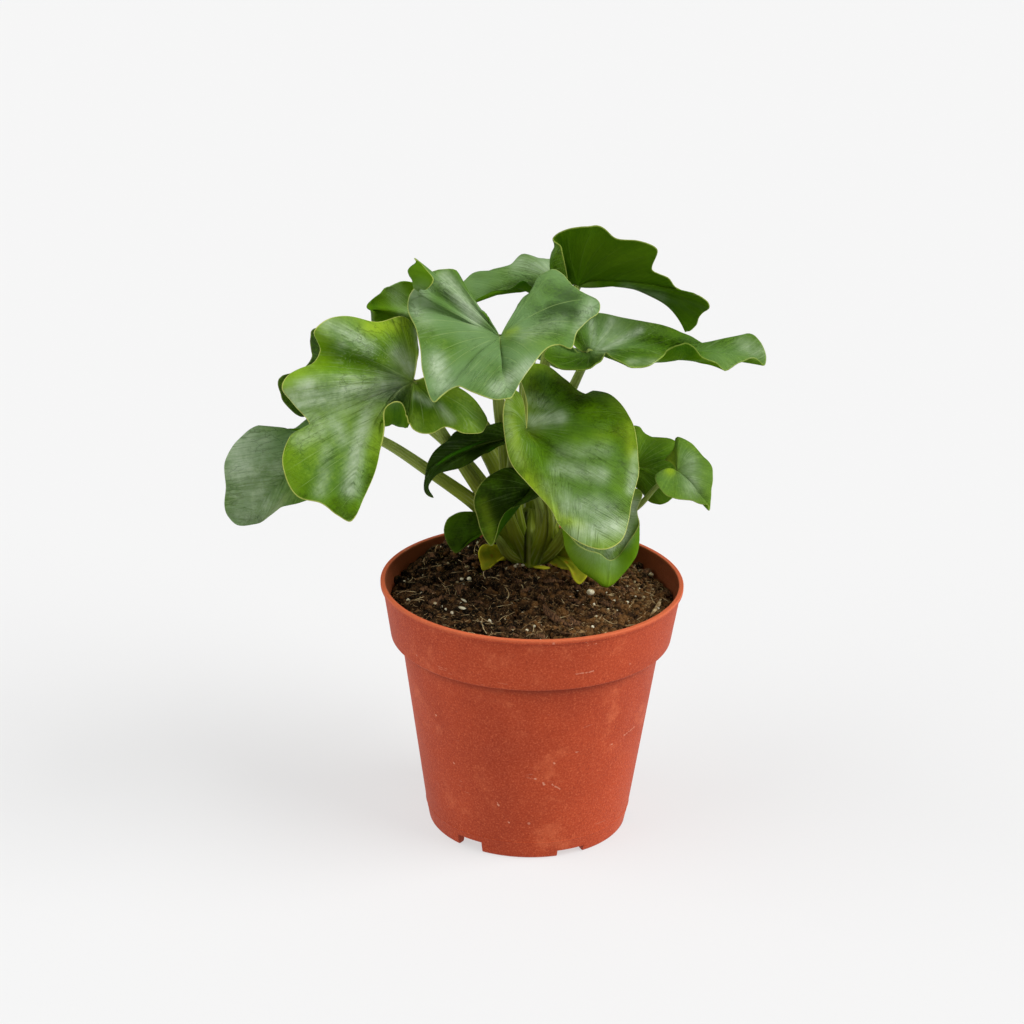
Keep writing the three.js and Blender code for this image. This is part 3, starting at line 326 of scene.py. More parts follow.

# Soft strokes painted on single leaves, by kind: from and to across and down the view, width and strength.
# One kind is a painted pale sheen and one painted shade in a darker green; fresh is a clean lively green and
# warm a yellow one, a young margin's colour and in places painted light.
TOUCHES = {
    "left": {
        "satin": (
            (328, 324, 368, 347, 8, 0.7), (343, 343, 343, 344, 7, 0.5), (398, 352, 411, 368, 8, 0.9),
            (294, 400, 392, 387, 13, 1), (300, 388, 310, 386, 8, 0.9), (305, 405, 318, 428, 12, 0.6),
            (366, 412, 356, 450, 8, 0.8), (356, 450, 350, 490, 8, 0.9), (296, 408, 350, 402, 14, 0.5),
            (330, 418, 344, 440, 10, 0.5), (300, 440, 330, 425, 8, 0.5), (328, 448, 320, 492, 7, 0.4),
            (416, 330, 420, 346, 4, 0.6), (416, 396, 430, 403, 4, 0.7), (440, 406, 452, 420, 4, 0.6),
            (320, 380, 392, 378, 7, 0.4), (330, 400, 372, 402, 12, 0.5),
        ),
        "deep": (
            (424, 400, 446, 424, 15, 0.9), (396, 402, 398, 420, 9, 1), (358, 362, 378, 352, 9, 1),
            (335, 508, 350, 514, 9, 0.9), (286, 470, 304, 494, 9, 0.8), (376, 462, 366, 488, 6, 0.8),
        ),
        "fresh": (
            (316, 338, 326, 364, 10, 1), (332, 368, 360, 366, 8, 0.9), (285, 384, 303, 376, 6, 0.9),
            (288, 450, 300, 476, 8, 0.5), (330, 500, 350, 505, 9, 0.5), (374, 440, 370, 468, 6, 0.4),
            (380, 336, 398, 342, 7, 0.8), (375, 330, 410, 332, 9, 0.8),
        ),
        # Painted light: this yellow stroke brightens a place that lies in shade
        "warm": ((370, 329, 412, 322, 9, 0.7),),
    },
    "centre": {
        "satin": (
            (412, 293, 417, 312, 6, 0.7), (436, 362, 443, 384, 9, 1), (497, 388, 512, 378, 8, 0.9),
            (512, 378, 530, 366, 8, 0.8), (445, 278, 476, 320, 7, 0.8), (592, 302, 578, 330, 7, 0.5),
            (525, 336, 560, 324, 9, 0.35), (420, 290, 424, 325, 9, 0.35),
        ),
        "deep": (
            (548, 290, 574, 297, 12, 0.9), (532, 300, 545, 318, 10, 0.6), (552, 306, 576, 312, 10, 1),
            (440, 290, 492, 326, 5, 0.8), (422, 344, 427, 371, 6, 0.4), (566, 296, 580, 312, 8, 0.8),
            (433, 396, 435, 396, 6, 0.5),
        ),
        "warm": ((507, 334, 516, 330, 4, 0.9),),
    },
    "front": {
        "satin": (
            (534, 421, 560, 417, 7, 0.75), (562, 452, 604, 450, 8, 0.4), (558, 468, 600, 474, 10, 0.5),
            (553, 490, 575, 505, 12, 0.35), (636, 455, 631, 490, 5, 0.6), (578, 532, 620, 526, 11, 0.8),
            (568, 506, 606, 512, 13, 0.5), (507, 400, 509, 435, 5, 0.3), (510, 440, 520, 462, 5, 0.15),
            (530, 398, 550, 408, 7, 0.35),
        ),
        "deep": (
            (560, 384, 580, 404, 9, 0.8), (532, 384, 540, 400, 7, 0.4), (618, 430, 630, 446, 7, 0.9),
            (604, 412, 622, 420, 8, 0.5), (530, 466, 545, 482, 8, 0.6), (528, 434, 545, 442, 5, 0.7),
            (545, 448, 555, 480, 9, 0.3), (575, 398, 592, 412, 10, 0.5),
        ),
        "fresh": (
            (592, 410, 620, 424, 10, 0.6), (578, 440, 606, 438, 9, 0.8), (612, 470, 618, 490, 8, 0.5),
            (545, 460, 560, 500, 9, 0.3),
        ),
        "warm": (
            (507, 400, 520, 462, 6, 0.4), (527, 480, 560, 517, 6, 0.8), (555, 516, 581, 526, 6, 0.7),
            (600, 436, 628, 430, 8, 0.25), (630, 425, 632, 455, 5, 0.5),
        ),
    },
    "right": {
        "satin": (
            (592, 322, 594, 345, 4, 0.7), (612, 320, 598, 348, 4, 0.7), (640, 330, 604, 349, 4, 0.7),
            (612, 330, 600, 345, 11, 0.3), (630, 362, 655, 362, 4, 0.4), (745, 345, 762, 352, 8, 0.5),
        ),
        "deep": ((575, 335, 585, 350, 6, 0.8), (640, 335, 690, 350, 9, 0.8), (550, 355, 590, 362, 7, 0.6)),
    },
    "low_left": {
        "satin": (
            (235, 470, 262, 440, 12, 0.6), (250, 500, 262, 490, 8, 0.9), (240, 470, 275, 470, 14, 0.6),
            (236, 445, 252, 500, 28, 1),
        ),
        "deep": ((228, 515, 260, 520, 6, 0.9), (280, 432, 305, 424, 6, 0.6), (265, 466, 288, 466, 5, 0.4)),
    },
    "low_front": {
        "satin": (
            (634, 505, 622, 540, 7, 1), (626, 530, 606, 552, 5, 0.9), (582, 544, 608, 564, 10, 0.5),
        ),
        "deep": ((560, 545, 588, 574, 11, 0.2), (616, 556, 634, 540, 4, 0.5)),
        "warm": ((560, 540, 588, 570, 9, 0.35), (596, 574, 612, 582, 7, 0.5)),
    },
    "back": {
        "satin": ((518, 262, 545, 266, 9, 0.5),),
        "deep": ((508, 284, 534, 280, 5, 0.7),),
    },
    "back_left": {
        "satin": ((392, 288, 404, 312, 8, 0.5),),
        "deep": ((372, 290, 374, 318, 6, 0.8),),
    },
    "back_right": {
        "satin": ((624, 288, 662, 298, 5, 0.5),),
        "warm": ((590, 250, 640, 262, 24, 0.25),),
    },
    "inner_front": {
        "warm": ((484, 505, 492, 540, 6, 0.45),),
    },
    "crown": {
        "satin": ((532, 530, 532, 560, 1.5, 0.5), (542, 540, 541, 566, 1.5, 0.4)),
        "deep": (
            (547, 505, 549, 562, 3.5, 1), (500, 520, 506, 560, 3, 0.5), (526, 512, 525, 562, 2, 1),
            (562, 548, 560, 566, 4, 1), (537, 512, 537.5, 566, 1.5, 0.9),
        ),
        "warm": (
            (531.5, 512, 532, 566, 2.5, 0.8), (542, 516, 541.5, 568, 2.5, 0.8),
            (512, 512, 514, 552, 7, 0.4), (556, 516, 552, 544, 3, 0.5),
        ),
    },
    "right_low": {
        "satin": ((690, 462, 692, 490, 9, 0.5),),
        "deep": ((671, 452, 670, 470, 5, 0.5),),
        "warm": ((671, 452, 670, 470, 6, 1),),
    },
}


def paint(red, green, blue):
    """A colour picked on screen (0 to 255), as linear light."""
    shares = [c / 255 for c in (red, green, blue)]
    return tuple(c / 12.92 if c <= 0.04045 else ((c + 0.055) / 1.055) ** 2.4 for c in shares) + (1,)


# The viewer
def view_axes():
    """The viewer's unturned right, up and forward directions."""
    pitch = math.radians(VIEW["pitch"])
    forward = np.array([0, math.cos(pitch), -math.sin(pitch)])
    up = np.array([0, math.sin(pitch), math.cos(pitch)])
    return np.array([1, 0, 0]), up, forward


def eye():
    return np.array(VIEW["aim"]) - VIEW["distance"] * view_axes()[2]


def with_roll(across, down, share=1):
    """Places across and down the view, turned by the viewer's roll, or back where share is -1."""
    roll = share * math.radians(VIEW["roll"])
    return across * math.cos(roll) + down * math.sin(roll), down * math.cos(roll) - across * math.sin(roll)


def rays(points):
    """Directions in which the viewer sees points given across and down the view."""
    points = np.atleast_2d(np.asarray(points, float))
    right, up, forward = view_axes()
    aside, below = with_roll(points[:, 0] - VIEW["size"] / 2, points[:, 1] - VIEW["size"] / 2)
    return VIEW["focal"] * forward + aside[:, None] * right - below[:, None] * up


def sight(points):
    """Points of the plant in mm from where the viewer sees them and their depth y."""
    points = np.atleast_2d(np.asarray(points, float))
    way = rays(points)
    return eye() + way * ((points[:, 2] - eye()[1]) / way[:, 1])[:, None]


def seen_at(points):
    """Where the viewer sees points of the plant, across and down the view."""
    right, up, forward = view_axes()
    way = points - eye()
    scale = VIEW["focal"] / (way @ forward)
    aside, below = scale * (way @ right), -scale * (way @ up)
    return np.stack(with_roll(aside, below, -1), -1) + VIEW["size"] / 2


# Curves and noise
class Spline:
    """A centripetal Catmull-Rom curve through points."""

    def __init__(self, points):
        points = np.asarray(points, float)
        self.points = np.vstack([2 * points[0] - points[1], points, 2 * points[-1] - points[-2]])
        self.spans = len(points) - 1

    def at(self, share):
        place = np.clip(np.asarray(share, float), 0, 1) * self.spans
        start = np.minimum(place.astype(int), self.spans - 1)
        w = (place - start)[:, None]
        p0, p1, p2, p3 = (self.points[start + k] for k in range(4))
        steps = (p1 - p0, p2 - p1, p3 - p2)
        d0, d1, d2 = (np.maximum(norm(step, axis=1), 1e-8)[:, None] ** 0.5 for step in steps)
        leave = ((p1 - p0) / d0 - (p2 - p0) / (d0 + d1) + (p2 - p1) / d1) * d1
        arrive = ((p2 - p1) / d1 - (p3 - p1) / (d1 + d2) + (p3 - p2) / d2) * d1
        square = 3 * (p2 - p1) - 2 * leave - arrive
        cube = 2 * (p1 - p2) + leave + arrive
        return p1 + leave * w + square * w**2 + cube * w**3

    def lengths(self, steps=400):
        shares = np.linspace(0, 1, steps + 1)
        points = self.at(shares)
        run = np.concatenate([[0], np.cumsum(norm(np.diff(points, axis=0), axis=1))])
        return shares, run

    def evenly(self, count):
        """Points an equal length apart along the curve."""
        shares, run = self.lengths()
        return self.at(np.interp(np.linspace(0, run[-1], count), run, shares))


class Noise:
    """Smooth seeded noise over a plane, from -1 to 1."""

    def __init__(self, seed, size=64):
        self.table = np.random.default_rng(seed).uniform(-1, 1, (size, size))
        self.size = size

    def at(self, x, y):
        i, j = np.floor(x).astype(int), np.floor(y).astype(int)
        u, v = x - i, y - j
        u, v = u * u * (3 - 2 * u), v * v * (3 - 2 * v)
        corners = [self.table[(i + a) % self.size, (j + b) % self.size] for b in (0, 1) for a in (0, 1)]
        low = corners[0] * (1 - u) + corners[1] * u
        high = corners[2] * (1 - u) + corners[3] * u
        return low * (1 - v) + high * v

    def layers(self, x, y, wavelength, count):
        total = 0
        for k in range(count):
            scale = 2**k / wavelength
            total = total + self.at(x * scale + 17 * k, y * scale + 5 * k) / 2**k
        return total


def smooth_step(low, high, value):
    share = np.clip((value - low) / (high - low), 0, 1)
    return share * share * (3 - 2 * share)


def bell(distance, width):
    """A smooth hump: 1 at no distance, about a third at its width."""
    return np.exp(-((distance / width) ** 2))


# Meshes
def piece_of(
    name, points, quads=(), triangles=(), materials=(), spots=None, face_materials=None, smooth=True
):
    """An object from points in mm, four- and three-sided faces and values at its points (spots)."""
    quads = np.asarray(quads, np.int32).reshape(-1, 4)
    triangles = np.asarray(triangles, np.int32).reshape(-1, 3)
    loops = np.concatenate([quads.ravel(), triangles.ravel()])
    sizes = np.concatenate([np.full(len(quads), 4), np.full(len(triangles), 3)])
    starts = np.concatenate([[0], np.cumsum(sizes)[:-1]])
    mesh = bpy.data.meshes.new(name)
    mesh.vertices.add(len(points))
    mesh.vertices.foreach_set("co", (np.asarray(points, float) * MM).ravel())
    mesh.loops.add(len(loops))
    mesh.loops.foreach_set("vertex_index", loops.astype(np.int32))
    mesh.polygons.add(len(sizes))
    mesh.polygons.foreach_set("loop_start", starts.astype(np.int32))
    mesh.polygons.foreach_set("use_smooth", np.full(len(sizes), smooth))
    for material in materials:
        mesh.materials.append(material)
    if face_materials is not None:
        mesh.polygons.foreach_set("material_index", np.asarray(face_materials, np.int32))
    for key, values in (spots or {}).items():
        values = np.asarray(values, float)
        if values.ndim == 2:
            layer = mesh.uv_layers.new(name=key)
            layer.data.foreach_set("uv", values[loops].ravel())
        else:
            mesh.attributes.new(key, "FLOAT", "POINT").data.foreach_set("value", values)
    mesh.update(calc_edges=True)
    mesh.validate()
    piece = bpy.data.objects.new(name, mesh)
    bpy.context.scene.collection.objects.link(piece)
    return piece


def full_turn(sides):
    """Angles round a full turn, the last one step short of the first."""
    return np.linspace(0, 2 * math.pi, sides, endpoint=False)


def strip_quads(rows, columns, closed):
    """Faces between rows of points, with each row closed into a ring or left open."""
    across = np.arange(columns if closed else columns - 1)
    start = (np.arange(rows - 1) * columns)[:, None]
    a = start + across
    b = start + (across + 1) % columns
    return np.stack([a, b, b + columns, a + columns], axis=-1).reshape(-1, 4)


def end_fans(rows, sides):
    """Triangles that close both ends of stacked rings, whose two middle points follow the last ring."""
    k = np.arange(sides)
    after = (k + 1) % sides
    last = (rows - 1) * sides
    low = np.stack([np.full(sides, rows * sides), after, k], -1)
    high = np.stack([np.full(sides, rows * sides + 1), last + k, last + after], -1)
    return np.concatenate([low, high])


def seat(piece, slot, *nodes):
    """The piece rides with the plant and stands for CAD nodes. Its slot is not used."""
    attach(piece, "root")
    if nodes:
        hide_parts(*nodes)
    return piece


# Node trees
class Tree:
    """Adds nodes to a node tree and links them by plain calls."""

    def __init__(self, tree):
        self.tree = tree

    def put(self, socket, value):
        if isinstance(value, bpy.types.NodeSocket):
            self.tree.links.new(value, socket)
        else:
            socket.default_value = value

    def add(self, kind, inputs=None, **settings):
        node = self.tree.nodes.new(kind)
        for key, value in settings.items():
            setattr(node, key, value)
        for key, value in (inputs or {}).items():
            self.put(node.inputs[key], value)
        return node

    def math(self, operation, *values, clamp=False):
        node = self.add("ShaderNodeMath", dict(enumerate(values)), operation=operation, use_clamp=clamp)
        return node.outputs[0]

    def times(self, first, second, clamp=False):
        return self.math("MULTIPLY", first, second, clamp=clamp)

    def minus(self, first, second):
        return self.math("SUBTRACT", first, second)

    def plus(self, first, *others, clamp=False):
        """The sum of all values, added from left to right."""
        total = first
        for other in others:
            total = self.math("ADD", total, other, clamp=clamp)
        return total

    def mix(self, share, first, second):
        return self.add("ShaderNodeMix", {0: share, 6: first, 7: second}, data_type="RGBA").outputs[2]

    def layered(self, base, *coats):
        """A colour under coats of other colours, each given as its mask and colour."""
        for mask, colour in coats:
            base = self.mix(mask, base, colour)
        return base

    def fade(self, value, low, high, start=0, end=1):
        inputs = {"Value": value, "From Min": low, "From Max": high, "To Min": start, "To Max": end}
        return self.add("ShaderNodeMapRange", inputs, interpolation_type="SMOOTHSTEP").outputs[0]

    def noise(self, scale, detail=2, rough=0.5, vector=None, distortion=0):
        where = vector or self.place()
        inputs = {"Vector": where, "Scale": scale, "Detail": detail, "Roughness": rough}
        return self.add("ShaderNodeTexNoise", {**inputs, "Distortion": distortion}).outputs["Fac"]

    def sway(self, scale, detail=2, rough=0.5):
        """Noise about zero, from -0.5 to 0.5."""
        return self.minus(self.noise(scale, detail, rough), 0.5)

    def place(self):
        return self.add("ShaderNodeTexCoord").outputs["Object"]

    def height(self):
        return self.split(self.place())[2]

    def stretched(self, scale):
        return self.add("ShaderNodeMapping", {"Vector": self.place(), "Scale": scale}).outputs[0]

    def split(self, vector):
        return self.add("ShaderNodeSeparateXYZ", {0: vector}).outputs

    def joined(self, x, y, z):
        return self.add("ShaderNodeCombineXYZ", {0: x, 1: y, 2: z}).outputs[0]

    def spot(self, name):
        return self.add("ShaderNodeAttribute", attribute_name=name).outputs["Fac"]

    def group(self, tree, inputs=None):
        node = self.add("ShaderNodeGroup", node_tree=tree)
        for key, value in (inputs or {}).items():
            self.put(node.inputs[key], value)
        return node.outputs


def new_group(name, inputs, outputs, kind="ShaderNodeTree"):
    """An empty node group with named sockets: inputs as (name, type, value), outputs as (name, type)."""
    tree = bpy.data.node_groups.new(name, kind)
    for label, socket_type, value in inputs:
        socket = tree.interface.new_socket(name=label, in_out="INPUT", socket_type=socket_type)
        if value is not None:
            socket.default_value = value
    for label, socket_type in outputs:
        tree.interface.new_socket(name=label, in_out="OUTPUT", socket_type=socket_type)
    g = Tree(tree)
    return g, g.add("NodeGroupInput").outputs, g.add("NodeGroupOutput").inputs


def new_material(name, colour, roughness, height, coat=None, **constants):
    """A material whose maker functions get its tree and give colour, roughness, bump height and coat."""
    material = bpy.data.materials.new(name)
    material.use_nodes = True
    g = Tree(material.node_tree)
    shader = material.node_tree.nodes["Principled BSDF"]
    for key, value in constants.items():
        shader.inputs[key.replace("_", " ")].default_value = value
    g.put(shader.inputs["Base Color"], colour(g))
    g.put(shader.inputs["Roughness"], roughness(g))
    if coat:
        g.put(shader.inputs["Coat Weight"], coat(g))
    bump = g.add("ShaderNodeBump", {"Height": height(g), "Distance": MM, "Strength": 1})
    g.put(shader.inputs["Normal"], bump.outputs["Normal"])
    return material


FLOAT, VECTOR = "NodeSocketFloat", "NodeSocketVector"


def vein_group():
    """Veins of a blade. Its vein map's u counts the lateral veins and v is the millimetres between them."""
    g, given, put = new_group(
        "leaf_veins",
        [("Vein width", FLOAT, 0.2), ("Fine lines", FLOAT, 9), ("Wander", FLOAT, 0.05)],
        [(name, FLOAT) for name in ("Vein", "Line", "Rib", "Margin", "Streak", "Crack")],
    )
    lateral, spacing, _ = g.split(g.add("ShaderNodeUVMap", uv_map="veins").outputs[0])
    count = g.plus(lateral, g.times(g.sway(110), given["Wander"]))
    fine_count = g.times(count, given["Fine lines"])

    # Lateral veins, left out near the margin
    off = g.math("ABSOLUTE", g.minus(g.math("FRACT", g.plus(count, 0.5)), 0.5))
    narrow = g.times(given["Vein width"], 0.5)
    vein = g.fade(g.times(off, spacing), narrow, given["Vein width"], 1, 0)
    g.put(put["Vein"], g.times(vein, g.fade(g.spot("edge_mm"), 1.5, 7)))

    # Fine lines between them, where there is room
    drift = g.times(g.noise(260), 9)
    wave = g.math("SINE", g.plus(g.times(fine_count, 2 * math.pi), drift))
    room = g.fade(g.math("DIVIDE", spacing, given["Fine lines"]), 0.12, 0.45)
    g.put(put["Line"], g.times(wave, room))

    # Midrib and margin
    width = g.fade(g.spot("reach"), 0, 1, 0.6, 0.14)
    rib = g.fade(g.spot("rib_mm"), g.times(width, 0.45), width, 1, 0)
    clear = g.times(g.spot("rib"), g.fade(g.spot("reach"), 0.12, 0.5, 1, 0))
    g.put(put["Rib"], g.times(rib, clear))
    edge = g.fade(g.spot("edge_mm"), 0.12, 0.46, 1, 0)
    g.put(put["Margin"], g.times(edge, g.spot("line")))

    # Streaks combed along the fine lines, different on each leaf
    combed = g.joined(fine_count, g.times(g.spot("run_mm"), 0.08), g.times(g.spot("tone"), 40))
    g.put(put["Streak"], g.noise(0.8, 3, 0.55, combed))

    # A net of fine cracks, in patches
    bent = g.times(g.sway(300, 3, 0.6), 1.6)
    along = g.plus(g.times(g.spot("run_mm"), 0.16), bent)
    netted = {"Vector": g.joined(g.plus(g.times(count, 3), bent), along, g.spot("tone")), "Scale": 1}
    cells = g.add("ShaderNodeTexVoronoi", netted, feature="DISTANCE_TO_EDGE")
    crack = g.fade(cells.outputs["Distance"], 0, 0.09, 1, 0)
    shown = g.fade(g.noise(65, 3, 0.6), 0.44, 0.6)
    g.put(put["Crack"], g.times(g.times(crack, shown), room))
    return g.tree


def fleck_group():
    """Small pale flecks on a worn surface."""
    g, given, put = new_group(
        "flecks",
        [("Flecks per metre", FLOAT, 300), ("Share", FLOAT, 0.1), ("Size", FLOAT, 0.2)],
        [("Mask", FLOAT)],
    )
    cells = g.add("ShaderNodeTexVoronoi", {"Vector": g.place(), "Scale": given["Flecks per metre"]})
    draw = g.add("ShaderNodeSeparateColor", {0: cells.outputs["Color"]}).outputs[0]
    chosen = g.math("LESS_THAN", draw, given["Share"])
    ragged = g.times(g.noise(2200, 1), given["Size"])
    mark = g.math("LESS_THAN", cells.outputs["Distance"], ragged)
    g.put(put["Mask"], g.times(chosen, mark))
    return g.tree


VEINS = vein_group()
FLECKS = fleck_group()


# Leaf materials
DEEP_GREEN = paint(27, 50, 1)
MID_GREEN = paint(70, 108, 10)
FRESH_GREEN = paint(110, 146, 34)
LIVELY_GREEN = paint(98, 140, 3)
YOUNG_YELLOW = paint(142, 170, 34)
# The colour of the painted blue-grey sheen
GREY_SHEEN_GREEN = paint(104, 136, 84)
VEIN_PALE = paint(150, 176, 104)
RIB_PALE = paint(160, 182, 96)
MARGIN_PALE = paint(196, 202, 104)
SHEEN_PALE = paint(150, 168, 132)
# The colour of the painted pale sheen
PAINTED_SHEEN_PALE = paint(184, 200, 170)


def ragged_mask(g, key, scale):
    """A soft stroke's mask with its edge torn up and its middle mottled by noise."""
    torn = g.fade(g.noise(scale, 4, 0.65), 0.3, 0.7, 0.5, 1.3)
    fine = g.fade(g.noise(700, 2, 0.6), 0.3, 0.6, 0.82, 1)
    return g.times(g.times(g.spot(key), torn, clamp=True), fine)


def painted_sheen_mask(g, veins):
    """The painted pale sheen, broken up along the blade's fine lines."""
    broken = g.fade(g.minus(veins["Streak"], 0.5), -0.2, 0.1, 0.62, 1)
    return g.times(ragged_mask(g, "satin", 120), broken, clamp=True)


# Mottling of a blade's green, from broad to fine: noise scale per metre, detail, roughness and strength
MOTTLE = (
    (34, 3, 0.55, 0.8), (120, 4, 0.65, 0.8), (420, 3, 0.6, 0.45), (1100, 2, 0.6, 0.45),
)


def upper_colour(g):
    veins = g.group(VEINS)
    streak = g.minus(veins["Streak"], 0.5)
    sways = [g.sway(scale, detail, rough) for scale, detail, rough, _ in MOTTLE]
    patches = sways[0]
    mottle = [g.times(sway, row[3]) for sway, row in zip(sways, MOTTLE)]
    tone = g.plus(g.spot("tone"), *mottle, g.times(streak, 0.35))
    low = g.mix(g.fade(tone, -0.05, 0.5), DEEP_GREEN, MID_GREEN)
    # A painted blue-grey sheen, set per leaf and broken into broad patches
    painted_grey_sheen = g.times(g.spot("dusk"), g.fade(g.noise(42), 0.35, 0.62, 0.15, 0.95))
    sheen = g.times(g.fade(streak, 0.02, 0.2), g.fade(g.noise(30), 0.48, 0.62))
    rim = g.times(g.fade(g.spot("edge_mm"), 1, 9, 0.9, 0.12), g.spot("yellow"))
    young = g.times(rim, g.fade(patches, -0.15, 0.15, 0.2, 1))
    # Warm is a young margin's yellow and, where the warm strokes lie, partly painted light
    warm = g.plus(young, g.times(ragged_mask(g, "warm", 90), 0.75), clamp=True)
    # Painted shade: darker green in narrow creases between the streaks, more on glossier leaves
    painted_crease_shade = g.times(g.fade(veins["Streak"], 0.4, 0.3, 0, 1), g.fade(g.noise(52), 0.46, 0.6))
    return g.layered(
        g.mix(g.fade(tone, 0.45, 1), low, FRESH_GREEN),
        (painted_grey_sheen, GREY_SHEEN_GREEN),
        (g.times(sheen, g.times(g.spot("gloss"), 0.4)), SHEEN_PALE),
        (g.times(ragged_mask(g, "fresh", 80), 0.8), LIVELY_GREEN),
        (warm, YOUNG_YELLOW),
        # Painted pale sheen where the sheen strokes lie
        (g.times(painted_sheen_mask(g, veins), 0.72), PAINTED_SHEEN_PALE),
        (g.times(painted_crease_shade, g.times(g.spot("gloss"), 0.55)), DEEP_GREEN),
        (g.times(veins["Crack"], 0.3), DEEP_GREEN),
        (g.times(veins["Vein"], g.math("MULTIPLY_ADD", g.spot("rib"), 0.5, 0.05)), VEIN_PALE),
        (g.times(veins["Rib"], 0.5), RIB_PALE),
        (veins["Margin"], MARGIN_PALE),
    )


def upper_roughness(g):
    satin = g.times(g.noise(60, 3, 0.6), 0.26)
    combed = g.times(g.minus(g.group(VEINS)["Streak"], 0.5), 0.3)
    return g.minus(g.plus(0.38, satin, combed), g.times(g.spot("gloss"), 0.15))


def upper_coat(g):
    return g.times(painted_sheen_mask(g, g.group(VEINS)), 0.45)


def upper_height(g):
    veins = g.group(VEINS)
    sunk = g.math("MULTIPLY_ADD", veins["Crack"], -0.1, g.times(veins["Vein"], -0.05))
    cells = g.times(g.noise(900, 2, 0.6), 0.09)
    rolls = g.times(g.noise(150), 0.3)
    return g.plus(g.times(veins["Line"], 0.02), sunk, g.times(veins["Streak"], 0.3), g.plus(cells, rolls))


UNDER_DEEP = paint(40, 82, 1)
UNDER_LIGHT = paint(90, 128, 8)
UNDER_VEIN = paint(122, 150, 66)


def under_colour(g):
    veins = g.group(VEINS, {"Vein width": 0.22})
    patches = g.times(g.sway(45, 3), 0.5)
    fine = g.times(g.sway(500), 0.2)
    combed = g.times(g.minus(veins["Streak"], 0.5), 0.4)
    tone = g.plus(g.spot("tone"), patches, fine, combed)
    return g.layered(
        g.mix(g.fade(tone, 0, 0.9), UNDER_DEEP, UNDER_LIGHT),
        (g.times(g.spot("warm"), 0.6), YOUNG_YELLOW),
        # Painted pale sheen on the underside where the sheen strokes lie
        (g.times(painted_sheen_mask(g, veins), 0.5), PAINTED_SHEEN_PALE),
        (g.times(veins["Vein"], 0.12), UNDER_VEIN),
        (g.times(veins["Rib"], 0.5), UNDER_VEIN),
        (veins["Margin"], MARGIN_PALE),
    )


def under_height(g):
    veins = g.group(VEINS, {"Vein width": 0.22})
    cells = g.times(g.noise(900), 0.05)
    return g.plus(g.times(veins["Vein"], 0.08), g.times(veins["Line"], 0.015), cells)


# Stalk, crown and sheath materials: the strand map's u counts ribs round the stalk and v runs up it, 0 to 1
STALK_FOOT = paint(108, 136, 8)
STALK_OLIVE = paint(138, 152, 38)
STALK_GREEN = paint(140, 160, 74)
STALK_PALE = paint(186, 194, 134)
# Near black: painted shade on the crown, and the dark end of a sheath's tone
STALK_DARK = paint(22, 30, 2)
SHEATH_YELLOW = paint(206, 200, 48)
SHEATH_GREEN = paint(150, 166, 30)
SHEATH_BROWN = paint(176, 116, 26)


STALK_LINES = 13


def strand(g):
    """Fine ribs that run up a stalk, from -1 to 1, and the height up it."""
    around, along, _ = g.split(g.add("ShaderNodeUVMap", uv_map="strands").outputs[0])
    angle = g.plus(g.times(around, 2 * math.pi * STALK_LINES), g.times(g.noise(90), 2.2))
    return g.math("SINE", angle), along


def stalk_colour(g):
    lines, along = strand(g)
    low = g.mix(g.fade(along, 0, 0.3), STALK_FOOT, STALK_OLIVE)
    return g.layered(
        g.mix(g.fade(along, 0.2, 0.95), low, STALK_GREEN),
        (g.times(g.fade(lines, 0.2, 1), g.fade(g.noise(60), 0.4, 0.65, 0.05, 0.4)), STALK_PALE),
        (g.fade(g.noise(140, 3), 0.3, 0.55, 0.2, 0), DEEP_GREEN),
        # The crown's strokes: a painted pale highlight, a lighter olive, and painted shade in near black
        (g.times(g.spot("satin"), 0.8), STALK_PALE),
        (g.times(g.spot("warm"), 0.8), STALK_OLIVE),
        (g.times(g.spot("deep"), 0.92), STALK_DARK),
    )


def stalk_height(g):
    return g.plus(g.times(strand(g)[0], 0.06), g.times(g.noise(700), 0.06))


def sheath_colour(g):
    blend = g.fade(g.noise(150, 3), 0.35, 0.65)
    yellow = g.mix(blend, SHEATH_GREEN, SHEATH_YELLOW)
    return g.layered(
        g.mix(g.spot("tone"), g.mix(0.5, SHEATH_GREEN, STALK_DARK), yellow),
        (g.fade(g.spot("edge_mm"), 0.2, 1.4, 0.7, 0), SHEATH_YELLOW),
        (g.times(g.fade(g.noise(380, 3), 0.62, 0.74), 0.6), SHEATH_BROWN),
    )


def sheath_height(g):
    return g.times(g.noise(1, 3, 0.6, g.stretched((700, 700, 90))), 0.25)


# Pot material, with the marks that its wall shows: named by where the viewer sees them, across and down
CLAY_RED = paint(178, 66, 30)
CLAY_DARK = paint(164, 58, 26)
CLAY_DEEP = paint(120, 38, 16)
CLAY_PALE = paint(222, 116, 74)
CLAY_INSIDE_SHADE = paint(140, 76, 46)
SCUFF_PALE = paint(216, 150, 122)
POT_SPECKS = (
    (497.5, 802, 498.5, 805), (543, 783, 544.5, 784.5), (554, 763, 554.3, 763.3),
    (535, 778.5, 535.4, 778.6), (509, 822, 509.3, 822.2), (454, 763, 454.3, 763.2),
    (436, 715, 436.3, 715.3),
)
POT_SCRATCHES = (
    (576, 752, 612, 744), (624, 735, 634, 727), (552, 784, 560, 789), (576, 674, 593, 671),
    (586, 642, 588, 645), (588, 645, 596, 643),
)


def wall_radius(height):
    """Outer radius of the pot's wall below its band."""
    return POT["foot"] + (POT["shoulder"] - POT["foot"]) * height / BAND_FOOT


# Shares of a ray between which the pot is looked for, and the number of steps
RAY_STEPS = (0.2, 0.45, 2500)


